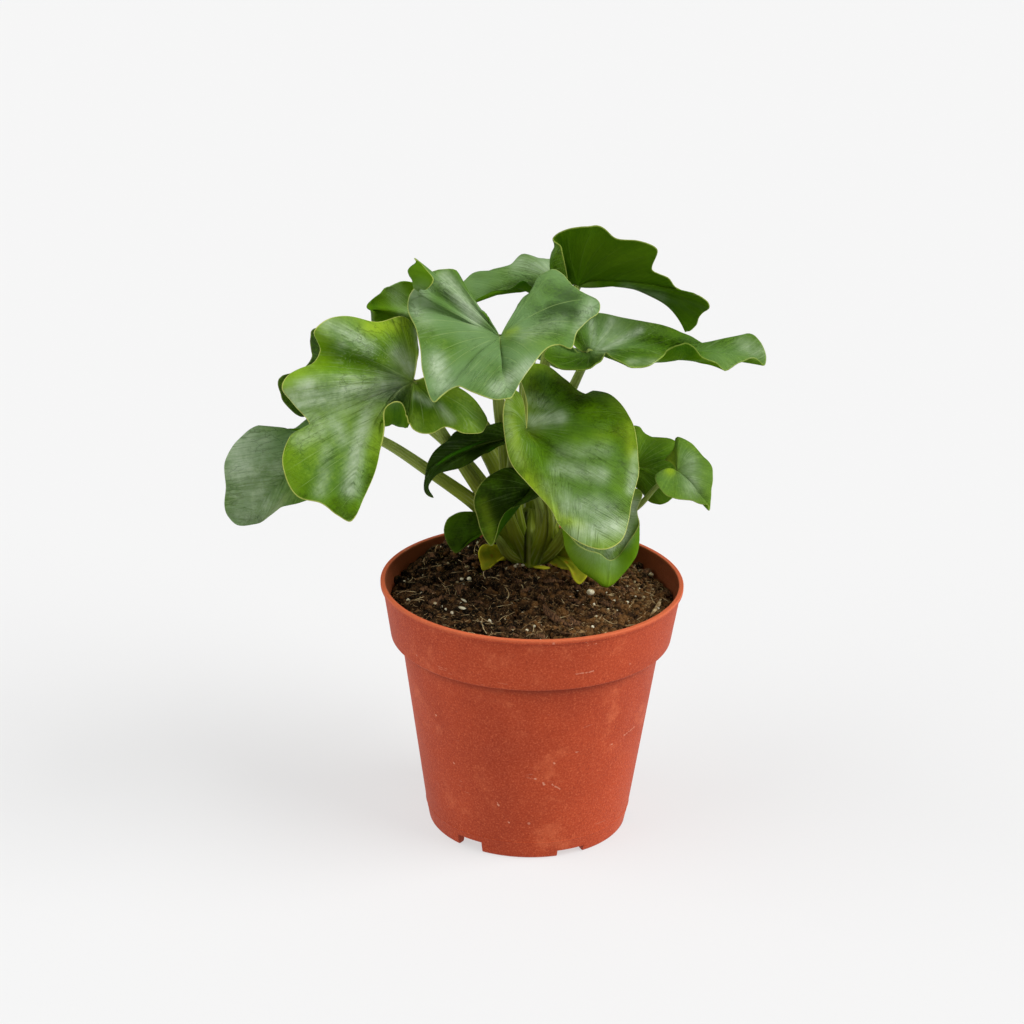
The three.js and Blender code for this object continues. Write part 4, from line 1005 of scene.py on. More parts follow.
def on_pot(across, down):
    """Where the viewer's ray meets the outside of the pot, in mm."""
    way = rays([(across, down)])[0]
    start = eye()
    for step in np.linspace(*RAY_STEPS):
        x, y, z = start + way * step
        band = (z > BAND_FOOT) * (POT["band_foot"] - POT["shoulder"])
        if z < POT["height"] and math.hypot(x, y) <= wall_radius(z) + band:
            return x, y, z
    raise ValueError("that mark is not on the pot")


def mark_group():
    """A thin mark between two points: 1 on it, 0 off it, ragged along its length."""
    sockets = [("Start", VECTOR, None), ("End", VECTOR, None), ("Width", FLOAT, 0.0004)]
    g, given, put = new_group("thin_mark", sockets, [("Mask", FLOAT)])

    def vector(operation, *values):
        return g.add("ShaderNodeVectorMath", dict(enumerate(values)), operation=operation).outputs

    away = vector("SUBTRACT", g.place(), given["Start"])[0]
    line = vector("SUBTRACT", given["End"], given["Start"])[0]
    over, whole = vector("DOT_PRODUCT", away, line)[1], vector("DOT_PRODUCT", line, line)[1]
    along = g.math("DIVIDE", over, whole, clamp=True)
    nearest = g.add("ShaderNodeVectorMath", {0: line, "Scale": along}, operation="SCALE").outputs[0]
    far = vector("LENGTH", vector("SUBTRACT", away, nearest)[0])[1]
    ragged = g.times(given["Width"], g.fade(g.noise(1500), 0.3, 0.7, 0.5, 1.3))
    g.put(put["Mask"], g.fade(far, g.times(ragged, 0.5), ragged, 1, 0))
    return g.tree


MARK = mark_group()


def pot_marks(g, marks, width):
    """All thin marks of one kind, as one mask."""
    total = 0
    for x0, y0, x1, y1 in marks:
        start, end = (Vector(on_pot(x, y)) * MM for x, y in ((x0, y0), (x1, y1)))
        mark = g.group(MARK, {"Start": start, "End": end, "Width": width})["Mask"]
        total = g.math("MAXIMUM", total, mark)
    return total


def pot_inside(g, height):
    """A mask of the wall's inner face above the soil, told by how far it lies from the axis."""
    x, y, _ = g.split(g.place())
    axis_away = g.math("SQRT", g.plus(g.math("POWER", x, 2), g.math("POWER", y, 2)))
    below_rim = g.minus(height, POT["height"] * MM)
    wall_line = g.math("MULTIPLY_ADD", below_rim, 0.13, POT["band_top"] * MM)
    inside = g.fade(g.minus(axis_away, wall_line), -0.85 * MM, -0.55 * MM, 1, 0)
    return g.times(inside, g.math("GREATER_THAN", height, (BAND_FOOT + 2) * MM))


def pot_colour(g):
    shade = g.noise(26, 3, 0.6)
    grain = g.noise(1600, 3, 0.75)
    height = g.height()
    # Painted shadow: the wall darkens just below the band, where the band overhangs it
    painted_band_shadow = g.fade(height, (BAND_FOOT - 4.5) * MM, (BAND_FOOT - 0.6) * MM)
    painted_band_shadow = g.times(painted_band_shadow, g.math("LESS_THAN", height, (BAND_FOOT + 0.2) * MM))
    # Painted light: the lip's top edge is paler
    lip = g.fade(height, (POT["height"] - 0.9 * POT["lip_drop"]) * MM, POT["height"] * MM, 0, 0.6)
    hairs = g.noise(1, 2, 0.5, g.stretched((160, 160, 900)), 1.2)
    hairs = g.times(g.fade(hairs, 0.7, 0.74), g.fade(g.noise(50), 0.55, 0.65))
    flecks = g.group(FLECKS, {"Flecks per metre": 150, "Share": 0.12, "Size": 0.14})["Mask"]
    return g.layered(
        g.mix(g.fade(shade, 0.3, 0.72), CLAY_DARK, CLAY_RED),
        (g.fade(grain, 0.48, 0.72, 0, 0.5), CLAY_PALE),
        (g.fade(grain, 0.26, 0.48, 0.6, 0), CLAY_DEEP),
        (g.times(g.fade(g.noise(75, 5, 0.7), 0.52, 0.72), 0.35), CLAY_PALE),
        (lip, CLAY_PALE),
        (g.times(painted_band_shadow, 0.6), CLAY_DEEP),
        # Painted shade: a darker, greyer clay on the wall's inner face above the soil
        (g.times(pot_inside(g, height), 0.85), CLAY_INSIDE_SHADE),
        (g.times(pot_marks(g, POT_SCRATCHES, 0.4 * MM), 0.6), SCUFF_PALE),
        (g.times(pot_marks(g, POT_SPECKS, 0.5 * MM), 0.8), SCUFF_PALE),
        (g.times(hairs, 0.3), SCUFF_PALE),
        (g.times(flecks, 0.5), SCUFF_PALE),
    )


def pot_roughness(g):
    return g.plus(0.5, g.times(g.noise(90, 4, 0.65), 0.18))


def pot_height(g):
    return g.plus(g.times(g.noise(1300, 3, 0.7), 0.16), g.times(g.noise(45), 0.2))


# Soil materials
PEAT_BLACK = paint(16, 10, 5)
PEAT_BROWN = paint(62, 42, 24)
PEAT_RED = paint(110, 76, 42)
PEAT_DRY = paint(172, 138, 92)


def painted_side_light(g):
    """Painted light on the soil: its side right of the plant, where the light comes from, is paler."""
    across = g.split(g.place())[0]
    sway = g.times(g.sway(55, 2), 0.05)
    return g.fade(g.plus(across, sway), -25 * MM, 32 * MM, 0, 1.3)


def soil_colour(g):
    side_light = painted_side_light(g)
    # Painted light: towards the right side the peat turns browner and its pale specks grow more common
    lumps = g.plus(g.noise(260, 4, 0.65), g.times(side_light, 0.12))
    fine = g.plus(g.noise(1300, 3, 0.7), g.times(side_light, 0.1))
    return g.layered(
        g.mix(g.fade(lumps, 0.42, 0.66), PEAT_BLACK, PEAT_BROWN),
        (g.times(g.fade(g.noise(190, 3), 0.5, 0.68), 0.5), PEAT_RED),
        (g.times(g.fade(fine, 0.52, 0.74), 0.8), PEAT_DRY),
        # Painted shade: the pits are darkened towards black
        (g.times(g.spot("pit"), 0.85), PEAT_BLACK),
    )


def soil_bump(g):
    return g.plus(g.times(g.noise(700, 4, 0.7), 0.9), g.times(g.noise(2600, 3, 0.7), 0.35))


def crumb_colour(g):
    # Painted light: crumbs turn browner and redder towards the right side
    which = g.plus(g.noise(330), g.times(painted_side_light(g), 0.12))
    return g.layered(
        g.mix(g.fade(which, 0.42, 0.6), PEAT_BLACK, PEAT_BROWN),
        (g.fade(which, 0.58, 0.74), PEAT_RED),
        (g.fade(g.noise(1700, 3), 0.55, 0.78, 0, 0.7), PEAT_DRY),
    )


BARK_DARK = paint(48, 32, 22)
BARK_BROWN = paint(122, 88, 60)
STRAW = paint(216, 192, 144)
STRAW_DARK = paint(128, 94, 58)
PERLITE_WHITE = paint(240, 232, 200)
PERLITE_SHADE = paint(176, 156, 112)


def bark_colour(g):
    grain = g.noise(1, 3, 0.6, g.stretched((2200, 500, 900)))
    return g.mix(g.fade(grain, 0.35, 0.68), BARK_DARK, BARK_BROWN)


def straw_colour(g):
    return g.mix(g.fade(g.noise(240, 3), 0.35, 0.65), STRAW_DARK, STRAW)


def perlite_colour(g):
    base = g.mix(g.fade(g.noise(300, 2), 0.35, 0.6), PERLITE_SHADE, PERLITE_WHITE)
    pores = g.fade(g.noise(2400, 3, 0.7), 0.58, 0.7)
    return g.mix(g.times(pores, 0.5), base, PERLITE_SHADE)


def rough_finish(low, spread, scale):
    """How rough a plain finish is, with some noise in it."""
    return lambda g: g.plus(low, g.times(g.noise(scale), spread))


def rough_height(scale, height):
    """A grainy bump."""
    return lambda g: g.times(g.noise(scale, 4, 0.65), height)


LEAF_UPPER = new_material(
    "leaf_upper", upper_colour, upper_roughness, upper_height, upper_coat,
    Coat_Roughness=0.26, Specular_IOR_Level=0.05,
)
LEAF_UNDER = new_material(
    "leaf_underside", under_colour, rough_finish(0.5, 0.15, 80), under_height, Specular_IOR_Level=0.04
)
STALK_SKIN = new_material(
    "stalk_skin", stalk_colour, rough_finish(0.36, 0.2, 120), stalk_height, Specular_IOR_Level=0.12
)
SHEATH_SKIN = new_material(
    "sheath_skin", sheath_colour, rough_finish(0.5, 0.2, 200), sheath_height, Specular_IOR_Level=0.1
)
POT_PLASTIC = new_material("pot_plastic", pot_colour, pot_roughness, pot_height, Specular_IOR_Level=0.2)
DULL = {"Specular_IOR_Level": 0.06}
PEAT = new_material("moist_peat", soil_colour, rough_finish(0.7, 0.3, 500), soil_bump, **DULL)
CRUMB = new_material(
    "peat_crumb", crumb_colour, rough_finish(0.7, 0.25, 600), rough_height(1800, 0.5), **DULL
)
BARK = new_material(
    "bark_chip", bark_colour, rough_finish(0.6, 0.3, 400), rough_height(1300, 0.5), **DULL
)
FIBRE = new_material(
    "peat_fibre", straw_colour, rough_finish(0.5, 0.2, 400), rough_height(1500, 0.15), **DULL
)
PERLITE = new_material(
    "perlite_grain", perlite_colour, rough_finish(0.7, 0.25, 900), rough_height(2200, 0.5)
)


# Blades
def in_order(angles, step):
    """Angles in rising order, each at least a step past the last: those that run back are evened out."""
    runs = []
    for i, angle in enumerate(angles):
        run = [angle - i * step, 1]
        while runs and runs[-1][0] / runs[-1][1] > run[0] / run[1]:
            last = runs.pop()
            run = [run[0] + last[0], run[1] + last[1]]
        runs.append(run)
    level = np.concatenate([np.full(count, total / count) for total, count in runs])
    return level + np.arange(len(angles)) * step


def rear_rim(leaf):
    """The waved, heart-shaped rim of a rear leaf, whose axis points along its heading and droops."""
    turn, dip = math.radians(leaf["heading"]), math.radians(leaf["droop"])
    along = np.array([math.cos(turn) * math.cos(dip), math.sin(turn) * math.cos(dip), -math.sin(dip)])
    side = np.array([-math.sin(turn), math.cos(turn), 0])
    face = np.cross(along, side)
    angle = np.radians(np.linspace(-REAR["spread"], REAR["spread"], REAR["points"]))
    reach = sum(share * np.cos(k * angle) for k, share in enumerate(HEART))
    out = reach * leaf["length"] * np.cos(angle)
    across = reach * leaf["width"] * np.sin(angle)
    wave = REAR["wave_height"] * np.cos(REAR["waves"] * angle) - REAR["sag"] * across**2
    return np.array(leaf["joint"]) + out[:, None] * along + across[:, None] * side + wave[:, None] * face


def turned_about(axis, vector, angle):
    """A vector turned about a unit axis."""
    cosine, sine = math.cos(angle), math.sin(angle)
    return vector * cosine + np.cross(axis, vector) * sine + axis * axis.dot(vector) * (1 - cosine)


def blade_curves(leaf):
    """Joint, rim curve and pull curve of a blade, as its solid has them."""
    drawn = "rim" in leaf
    joint = sight([leaf["joint"]])[0] if drawn else np.array(leaf["joint"], float)
    rim = sight([point[:3] for point in leaf["rim"]]) if drawn else rear_rim(leaf)
    rolled = [drawn and len(leaf["rim"][i]) > 3 for i in range(len(rim))]
    spokes = rim - joint
    face = np.cross(spokes[:-1], spokes[1:]).sum(0)
    face /= norm(face)
    ahead = spokes[0] - face * face.dot(spokes[0])
    ahead /= norm(ahead)
    aside = np.cross(face, ahead)
    pulls = spokes / 2
    for i, is_rolled in enumerate(rolled):
        if is_rolled:
            pulls[i] = sight([leaf["rim"][i][3:]])[0] - joint
    headings = np.unwrap(np.arctan2(pulls @ aside, pulls @ ahead))
    for i, heading in enumerate(in_order(headings, math.radians(BLADE["fan"]))):
        pulls[i] = joint + turned_about(face, pulls[i], heading - headings[i])
        if not rolled[i]:
            keel = leaf.get("keel", BLADE["keel"]) if i == leaf.get("tip") else 0
            pulls[i] += face * (leaf["bow"] - keel)
    return joint, Spline(rim), Spline(pulls), face


def rim_shares(rim, tip):
    """Where along the rim the spokes end: evenly, closer at both ends and beside the tip."""
    spans = rim.spans
    shares = []
    for i in range(spans):
        steps = max(3, round(norm(rim.points[i + 2] - rim.points[i + 1]) / BLADE["step"]))
        shares += list((i + np.arange(steps) / steps) / spans)
    close = np.array(BLADE["close"])
    extra = [close / spans, 1 - close / spans]
    if tip is not None:
        extra += [(tip + close) / spans, (tip - close) / spans, [tip / spans]]
    return np.unique(np.round(np.concatenate([shares, [1], *extra]), 5))


# Lateral veins lean towards the tip and bend, and behind the joint they fan out from it. Lengths are shares
# of the blade's length.
VEIN = {
    "lean": 1.3, "bend": 0.25, "spacing": 0.17, "fan": math.radians(17), "lobe": math.radians(165),
    "slant": 0.87,
}
# Relief of a blade in mm: heights, and the widths over which they fade
RELIEF = {
    "valley": 0.4, "valley_width": 3.2, "groove": 0.15, "groove_width": 0.6, "wave": 0.45, "wave_length": 13,
    "ripple": 0.45, "ripple_pace": 1.9, "ripple_width": 3.5, "keel": 0.85, "keel_width": 0.8,
    "joint_width": 2.5, "puff_shape": 0.7, "puff_middle": 0.55,
}
# What the painted shade strokes take off a leaf's tone and its painted grey sheen
SHADE_PAINT_DEPTH = {"tone": 0.36, "dusk": 0.7}


def vein_count(ahead, aside):
    """Which lateral vein a point lies at, as a number that is whole on a vein."""
    bent = ahead - VEIN["bend"] * aside**2
    lateral = (bent - VEIN["lean"] * aside) / VEIN["spacing"]
    polar = (math.atan2(1, VEIN["lean"]) - np.arctan2(aside, bent)) / VEIN["fan"]
    return np.where(lateral > 0, lateral, polar)


def edge_distance(points, border):
    """Distance of each point from the border, in mm."""
    tree = kdtree.KDTree(len(border))
    for i, point in enumerate(border):
        tree.insert(point, i)
    tree.balance()
    return np.array([tree.find(point)[2] for point in points])


def touched(points, touches):
    """How strongly each kind of stroke reaches points, 0 to 1."""
    seen = seen_at(points)
    strokes = {kind: np.zeros(len(points)) for kind in ("satin", "deep", "fresh", "warm")}
    for kind, rows in touches.items():
        for x0, y0, x1, y1, width, strength in rows:
            start, line = np.array([x0, y0]), np.array([x1 - x0, y1 - y0])
            along = np.clip((seen - start) @ line / max(line @ line, 1e-6), 0, 1)
            far = norm(seen - start - along[:, None] * line, axis=1)
            strokes[kind] = np.maximum(strokes[kind], strength * bell(far, width))
    return strokes


def blade_piece(name, leaf, look, materials, seed):
    """A thin closed blade with a midrib, quilting between its veins and a rounded margin."""
    joint, rim, pull, face = blade_curves(leaf)
    tip = leaf.get("tip")
    shares = rim_shares(rim, tip)
    ends, bends = rim.at(shares), pull.at(shares)
    longest = norm(ends - joint, axis=1).max()
    rings = max(10, round(longest / BLADE["step"]))
    margin = np.array(BLADE["margin"]) / longest
    reach = np.unique(np.concatenate([np.arange(1, rings) / rings, 1 - margin, [1]]))
    s, r = reach[None, :, None], len(reach)
    middle = (1 - s) ** 2 * joint + 2 * s * (1 - s) * bends[:, None] + s**2 * ends[:, None]

    # Flat coordinates: the distance along each spoke, and the angle from the tip's spoke
    from_joint = np.concatenate([np.tile(joint, (len(shares), 1, 1)), middle], 1)
    run = np.cumsum(norm(np.diff(from_joint, axis=1), axis=2), axis=1)
    half_way = middle[:, round(r * BLADE["half_way"])] - joint
    half_way /= norm(half_way, axis=1)[:, None]
    turns = np.arccos(np.clip((half_way[1:] * half_way[:-1]).sum(1), -1, 1))
    angle = np.concatenate([[0], np.cumsum(turns)])
    tip_at = np.argmin(abs(shares - tip / rim.spans)) if tip is not None else len(shares) // 2
    angle -= angle[tip_at]
    lobe = VEIN["lobe"]
    angle = np.where(angle < 0, angle * lobe / max(-angle[0], 1e-6), angle * lobe / max(angle[-1], 1e-6))
    length = run[tip_at, -1]
    ahead = run * np.cos(angle)[:, None]
    aside = run * abs(np.sin(angle))[:, None]

    # Normals of the middle surface
    across = np.gradient(middle, axis=0)
    outward = np.gradient(middle, reach, axis=1)
    normal = np.cross(outward, across)
    normal /= np.maximum(norm(normal, axis=2), 1e-9)[..., None]
    top_face = normal[:, r // 3 :].mean((0, 1))
    sign = 1 if top_face.dot(face) > 0 else -1
    normal *= sign
    joint_normal = normal[:, 1].mean(0)
    joint_normal /= norm(joint_normal)
    near = np.exp(-run / RELIEF["joint_width"])[..., None]
    normal = normal * (1 - near) + joint_normal * near
    normal /= norm(normal, axis=2)[..., None]

    border = np.concatenate([middle[0], middle[:, -1], middle[-1]])
    edge = edge_distance(middle.reshape(-1, 3), border).reshape(run.shape)

    # Relief of the whole blade: quilting, a valley at the midrib and small seeded waves
    count = vein_count(ahead / length, aside / length)
    spacing = np.where(count > 0, VEIN["spacing"] * length * VEIN["slant"], run * VEIN["fan"])
    puff = abs(np.sin(np.pi * count)) ** RELIEF["puff_shape"] - RELIEF["puff_middle"]
    inside = smooth_step(0, 6, edge) * smooth_step(2, 12, run)
    relief = look["pleat"] * puff * inside * smooth_step(1, 5, spacing)
    rib_mm = np.hypot(np.minimum(ahead, 0), aside)
    reach_share = np.clip(run / length, 0, 1)
    rib_fade = look["rib"] * smooth_step(0.65, 0.1, reach_share)
    valley = RELIEF["valley"] * bell(rib_mm, RELIEF["valley_width"]) * rib_fade
    relief -= valley * (ahead > 0) * smooth_step(0, 5, run)
    noise = Noise(seed)
    waves = noise.layers(ahead, run * np.sin(angle)[:, None], RELIEF["wave_length"], 2)
    relief += RELIEF["wave"] * waves * smooth_step(2, 14, run)
    ripple = noise.at(shares[:, None] * rim.spans * RELIEF["ripple_pace"], np.zeros_like(run))
    relief += RELIEF["ripple"] * ripple * np.exp(-edge / RELIEF["ripple_width"]) * smooth_step(2, 10, run)
    middle = middle + normal * relief[..., None]

    # Both faces, drawn together round the margin
    half = BLADE["thickness"] / 2
    rounding = np.clip(edge / BLADE["rounding"], 0, 1)
    thick = (half * np.sqrt(1 - (1 - rounding) ** 2))[..., None]
    groove = (RELIEF["groove"] * bell(rib_mm, RELIEF["groove_width"]) * rib_fade * rounding)[..., None]
    root = stalk_radii(leaf)[1] if "stalk" in leaf else BLADE["base"]
    ridge = RELIEF["keel"] * root * bell(rib_mm, RELIEF["keel_width"] * root)
    keel = (ridge * (1 - reach_share) ** 0.8 * rounding)[..., None]
    upper = middle + normal * (thick - groove)
    lower = middle - normal * (thick + keel)

    spokes = len(shares)
    shared = np.zeros((spokes, r), bool)
    shared[0], shared[-1], shared[:, -1] = True, True, True
    top_ids = 2 + np.arange(spokes * r).reshape(spokes, r)
    bottom_ids = top_ids.copy()
    bottom_ids[~shared] = 2 + spokes * r + np.arange((~shared).sum())
    upper[shared] = middle[shared]
    joint_ends = [joint + joint_normal * half, joint - joint_normal * (half + RELIEF["keel"] * root)]
    points = np.concatenate([joint_ends, upper.reshape(-1, 3), lower[~shared]])

    def sheet(ids, centre):
        a, b, c, d = ids[:-1, :-1], ids[:-1, 1:], ids[1:, 1:], ids[1:, :-1]
        quads = np.stack([a, b, c, d], -1).reshape(-1, 4)
        fan = np.stack([np.full(spokes - 1, centre), ids[:-1, 0], ids[1:, 0]], -1)
        return quads, fan

    top_quads, top_fan = sheet(top_ids, 0)
    low_quads, low_fan = sheet(bottom_ids, 1)
    gap = np.array([[0, 1, top_ids[0, 0]], [1, 0, top_ids[-1, 0]]])
    low_quads, low_fan = low_quads[:, ::-1], low_fan[:, ::-1]
    if sign < 0:
        top_quads, low_quads = top_quads[:, ::-1], low_quads[:, ::-1]
        top_fan, low_fan, gap = top_fan[:, ::-1], low_fan[:, ::-1], gap[:, ::-1]
    quads = np.concatenate([top_quads, low_quads])
    triangles = np.concatenate([top_fan, low_fan, gap])
    counts = (len(top_quads), len(low_quads), len(top_fan), len(low_fan) + len(gap))
    sides = np.repeat([0, 1, 0, 1], counts)

    def spread(values, at_joint):
        return np.concatenate([[at_joint, at_joint], values.reshape(-1), values[~shared]])

    spots = {
        "veins": np.stack([spread(count, 0), spread(spacing, 0)], -1),
        "rib_mm": spread(rib_mm, 0),
        "edge_mm": spread(edge, 3),
        "reach": spread(reach_share, 0),
        "run_mm": spread(run, 0),
    }
    strokes = touched(points, TOUCHES.get(leaf["name"], {}))
    # Painted shade lowers the tone and takes off the painted grey sheen; the other strokes go on as they are
    spots["tone"] = look["tone"] - SHADE_PAINT_DEPTH["tone"] * strokes["deep"]
    spots["dusk"] = np.clip(look["dusk"] - SHADE_PAINT_DEPTH["dusk"] * strokes["deep"], 0, 1)
    spots.update({key: strokes[key] for key in ("satin", "fresh", "warm")})
    for key in ("yellow", "gloss", "line", "rib"):
        spots[key] = np.full(len(points), look[key])
    return piece_of(name, points, quads, triangles, materials, spots, sides)


# Stalks
def stalk_length(leaf):
    return stalk_spline(leaf).lengths()[1][-1]


def stalk_radii(leaf):
    """Radii at the foot and the tip of a stalk, which a longer stalk has larger."""
    span, slim = stalk_length(leaf), leaf.get("slim", 1)
    ends = (STALK["foot"], STALK["tip"])
    return [slim * min(max(end["base"] + end["per_mm"] * span, end["least"]), end["most"]) for end in ends]


def stalk_spline(leaf):
    drawn = "rim" in leaf
    way = sight(leaf["stalk"]) if drawn else np.array(leaf["stalk"], float)
    joint = sight([leaf["joint"]])[0] if drawn else np.array(leaf["joint"], float)
    out = np.array([way[0][0] - CROWN["x"], way[0][1] - CROWN["y"], 0])
    inner = STALK["root"] * min(CROWN["radius"], norm(out))
    foot = out / norm(out) * inner + np.array([CROWN["x"], CROWN["y"], CROWN["waist"]])
    return Spline(np.vstack([foot, way, joint]))


def carried_frames(points, start):
    """Tangents along a path with two side directions carried along it without twisting."""
    tangents = np.gradient(points, axis=0)
    tangents /= norm(tangents, axis=1)[:, None]
    first, second, side = [], [], start
    for tangent in tangents:
        side = side - tangent * tangent.dot(side)
        side /= norm(side)
        first.append(side)
        second.append(np.cross(tangent, side))
    return np.array(first), np.array(second)


def tube(name, centres, first, second, radii, section, materials, spots):
    """A closed tube round centres; section gives its reach along the two side directions round a turn."""
    sides = section.shape[1] if section.ndim == 3 else len(section)
    rings = centres[:, None] + radii[:, None, None] * (
        section[..., 0, None] * first[:, None] + section[..., 1, None] * second[:, None]
    )
    rows = len(centres)
    points = np.concatenate([rings.reshape(-1, 3), centres[:1], centres[-1:]])
    quads = strip_quads(rows, sides, True)
    return piece_of(name, points, quads, end_fans(rows, sides), materials, spots)


def stalk_piece(leaf):
    """A faintly ribbed, channelled stalk that flares where it wraps the crown."""
    path = stalk_spline(leaf)
    length = path.lengths()[1][-1]
    foot, tip = stalk_radii(leaf)
    rows = max(12, round(length / STALK["step"]))
    centres = path.evenly(rows)
    share = np.linspace(0, 1, rows)
    out = centres[2] - np.array([CROWN["x"], CROWN["y"], centres[2][2]])
    first, second = carried_frames(centres, out / norm(out))
    radii = foot + (tip - foot) * share ** STALK["taper"]
    flare = 1 + (STALK["flare"] - 1) * np.maximum(0, 1 - share / STALK["flare_end"])
    turn = full_turn(STALK["sides"])
    channel = STALK["channel"] * bell(turn - math.pi, STALK["channel_width"])
    reach = 1 - channel + STALK["rib_height"] * np.cos(STALK["ribs"] * turn)
    section = np.stack(
        [np.tile(reach * np.cos(turn), (rows, 1)), flare[:, None] * (reach * np.sin(turn))[None]], -1
    )
    around = np.tile(turn / (2 * math.pi), rows)
    strands = np.stack([around, np.repeat(share, STALK["sides"])], -1)
    strands = np.concatenate([strands, [[0, 0], [0, 1]]])
    spots = {"strands": strands}
    return tube("stem_" + leaf["name"], centres, first, second, radii, section, [STALK_SKIN], spots)


# Crown
def crown_piece():
    """The short stem, wrapped in leaf bases that show as uneven ribs."""
    c = CROWN
    rows, sides = c["rows"], c["sides"]
    heights = np.linspace(c["heights"][0], c["heights"][-1], rows)
    radii = np.interp(heights, c["heights"], c["radii"])
    turn = full_turn(sides)
    uneven = turn + 0.35 * np.sin(2 * turn + 1) + 0.2 * np.sin(3 * turn + 2.2)
    twisted = uneven[None] + c["twist"] * (heights[:, None] - c["waist"])
    round_backs = np.abs(np.cos(c["bases"] / 2 * twisted)) ** 0.55
    relief = c["base_relief"] * round_backs - 0.16 + 0.02 * np.cos(c["fine_ribs"] * turn)
    share = smooth_step(c["heights"][1], c["heights"][3], heights)
    wander = 0.04 * Noise(41).at(turn[None] * 2 + heights[:, None] * 0.02, heights[:, None] * 0.08)
    reach = 1 + share[:, None] * relief + wander
    section = np.stack([reach * np.cos(turn), reach * np.sin(turn)], -1)
    centres = np.stack([np.full(rows, c["x"]), np.full(rows, c["y"]), heights], -1)
    x_axis, y_axis = np.tile([1, 0, 0], (rows, 1)), np.tile([0, 1, 0], (rows, 1))
    up_stalk = np.linspace(0, c["strand_end"], rows)
    strands = np.stack([np.tile(turn / 5, rows), np.repeat(up_stalk, sides)], -1)
    strands = np.concatenate([strands, [[0, 0], [0, c["strand_end"]]]])
    rings = centres[:, None] + radii[:, None, None] * np.pad(section, ((0, 0), (0, 0), (0, 1)))
    strokes = touched(np.concatenate([rings.reshape(-1, 3), centres[:1], centres[-1:]]), TOUCHES["crown"])
    spots = {"strands": strands, **strokes}
    return tube("crown_base", centres, x_axis, y_axis, radii, section, [STALK_SKIN], spots)


# Pot
def rounded(corners, steps=5, hold=0.25):
    """A profile from corners (radius, height, rounding), with its long straights held flat."""
    corners = [np.array(corner, float) for corner in corners]
    profile = []
    for i, corner in enumerate(corners):
        size = corner[2]
        if size == 0 or i in (0, len(corners) - 1):
            profile.append(corner[:2])
            continue
        before, after = corners[i - 1][:2] - corner[:2], corners[i + 1][:2] - corner[:2]
        start = corner[:2] + before / norm(before) * min(size, norm(before) * 0.45)
        end = corner[:2] + after / norm(after) * min(size, norm(after) * 0.45)
        for w in np.linspace(0, 1, steps):
            profile.append((1 - w) ** 2 * start + 2 * w * (1 - w) * corner[:2] + w**2 * end)
    held = [profile[0]]
    for before, after in zip(profile, profile[1:]):
        span = norm(after - before)
        if span > 2 and before[0] > 0 and after[0] > 0:
            held += [before + (after - before) * hold / span, after - (after - before) * hold / span]
        held.append(after)
    return np.array(held)


def lathe(name, profile, sides, materials):
    """A body of revolution about Z whose profile starts and ends on the axis."""
    turn = full_turn(sides)
    inner = profile[1:-1]
    rings = np.stack(
        [inner[:, :1] * np.cos(turn), inner[:, :1] * np.sin(turn), np.repeat(inner[:, 1:], sides, 1)], -1
    )
    rows = len(inner)
    points = np.concatenate([rings.reshape(-1, 3), [[0, 0, profile[0][1]], [0, 0, profile[-1][1]]]])
    return piece_of(name, points, strip_quads(rows, sides, True), end_fans(rows, sides), materials)


def cut(piece, cutter):
    """Takes the cutter out of the piece for good."""
    modifier = piece.modifiers.new("cut", "BOOLEAN")
    modifier.operation, modifier.solver, modifier.object = "DIFFERENCE", "EXACT", cutter
    bpy.context.view_layer.update()
    evaluated = piece.evaluated_get(bpy.context.evaluated_depsgraph_get())
    mesh = bpy.data.meshes.new_from_object(evaluated)
    piece.modifiers.clear()
    old, piece.data = piece.data, mesh
    bpy.data.meshes.remove(old)
    bpy.data.objects.remove(cutter)


def block(width, depth, height, centre, turn):
    """A box cutter, in mm, turned about the pot's axis."""
    half = (width / 2, depth / 2, height / 2)
    cosine, sine = math.cos(turn), math.sin(turn)
    points = []
    for signs in itertools.product((-1, 1), repeat=3):
        x, y, z = (sign * size + middle for sign, size, middle in zip(signs, half, centre))
        points.append((x * cosine - y * sine, x * sine + y * cosine, z))
    faces = [(0, 1, 3, 2), (4, 6, 7, 5), (0, 4, 5, 1), (2, 3, 7, 6), (0, 2, 6, 4), (1, 5, 7, 3)]
    return piece_of("cutter", points, faces, smooth=False)


def rod(radius, height, centre, turn, sides=32):
    """A round cutter, in mm, turned about the pot's axis."""
    profile = np.array([[0, -height / 2], [radius, -height / 2], [radius, height / 2], [0, height / 2]])
    cutter = lathe("cutter", profile, sides, ())
    shift = Matrix.Rotation(turn, 4, "Z") @ Matrix.Translation(Vector(centre) * MM)
    cutter.data.transform(shift)
    return cutter


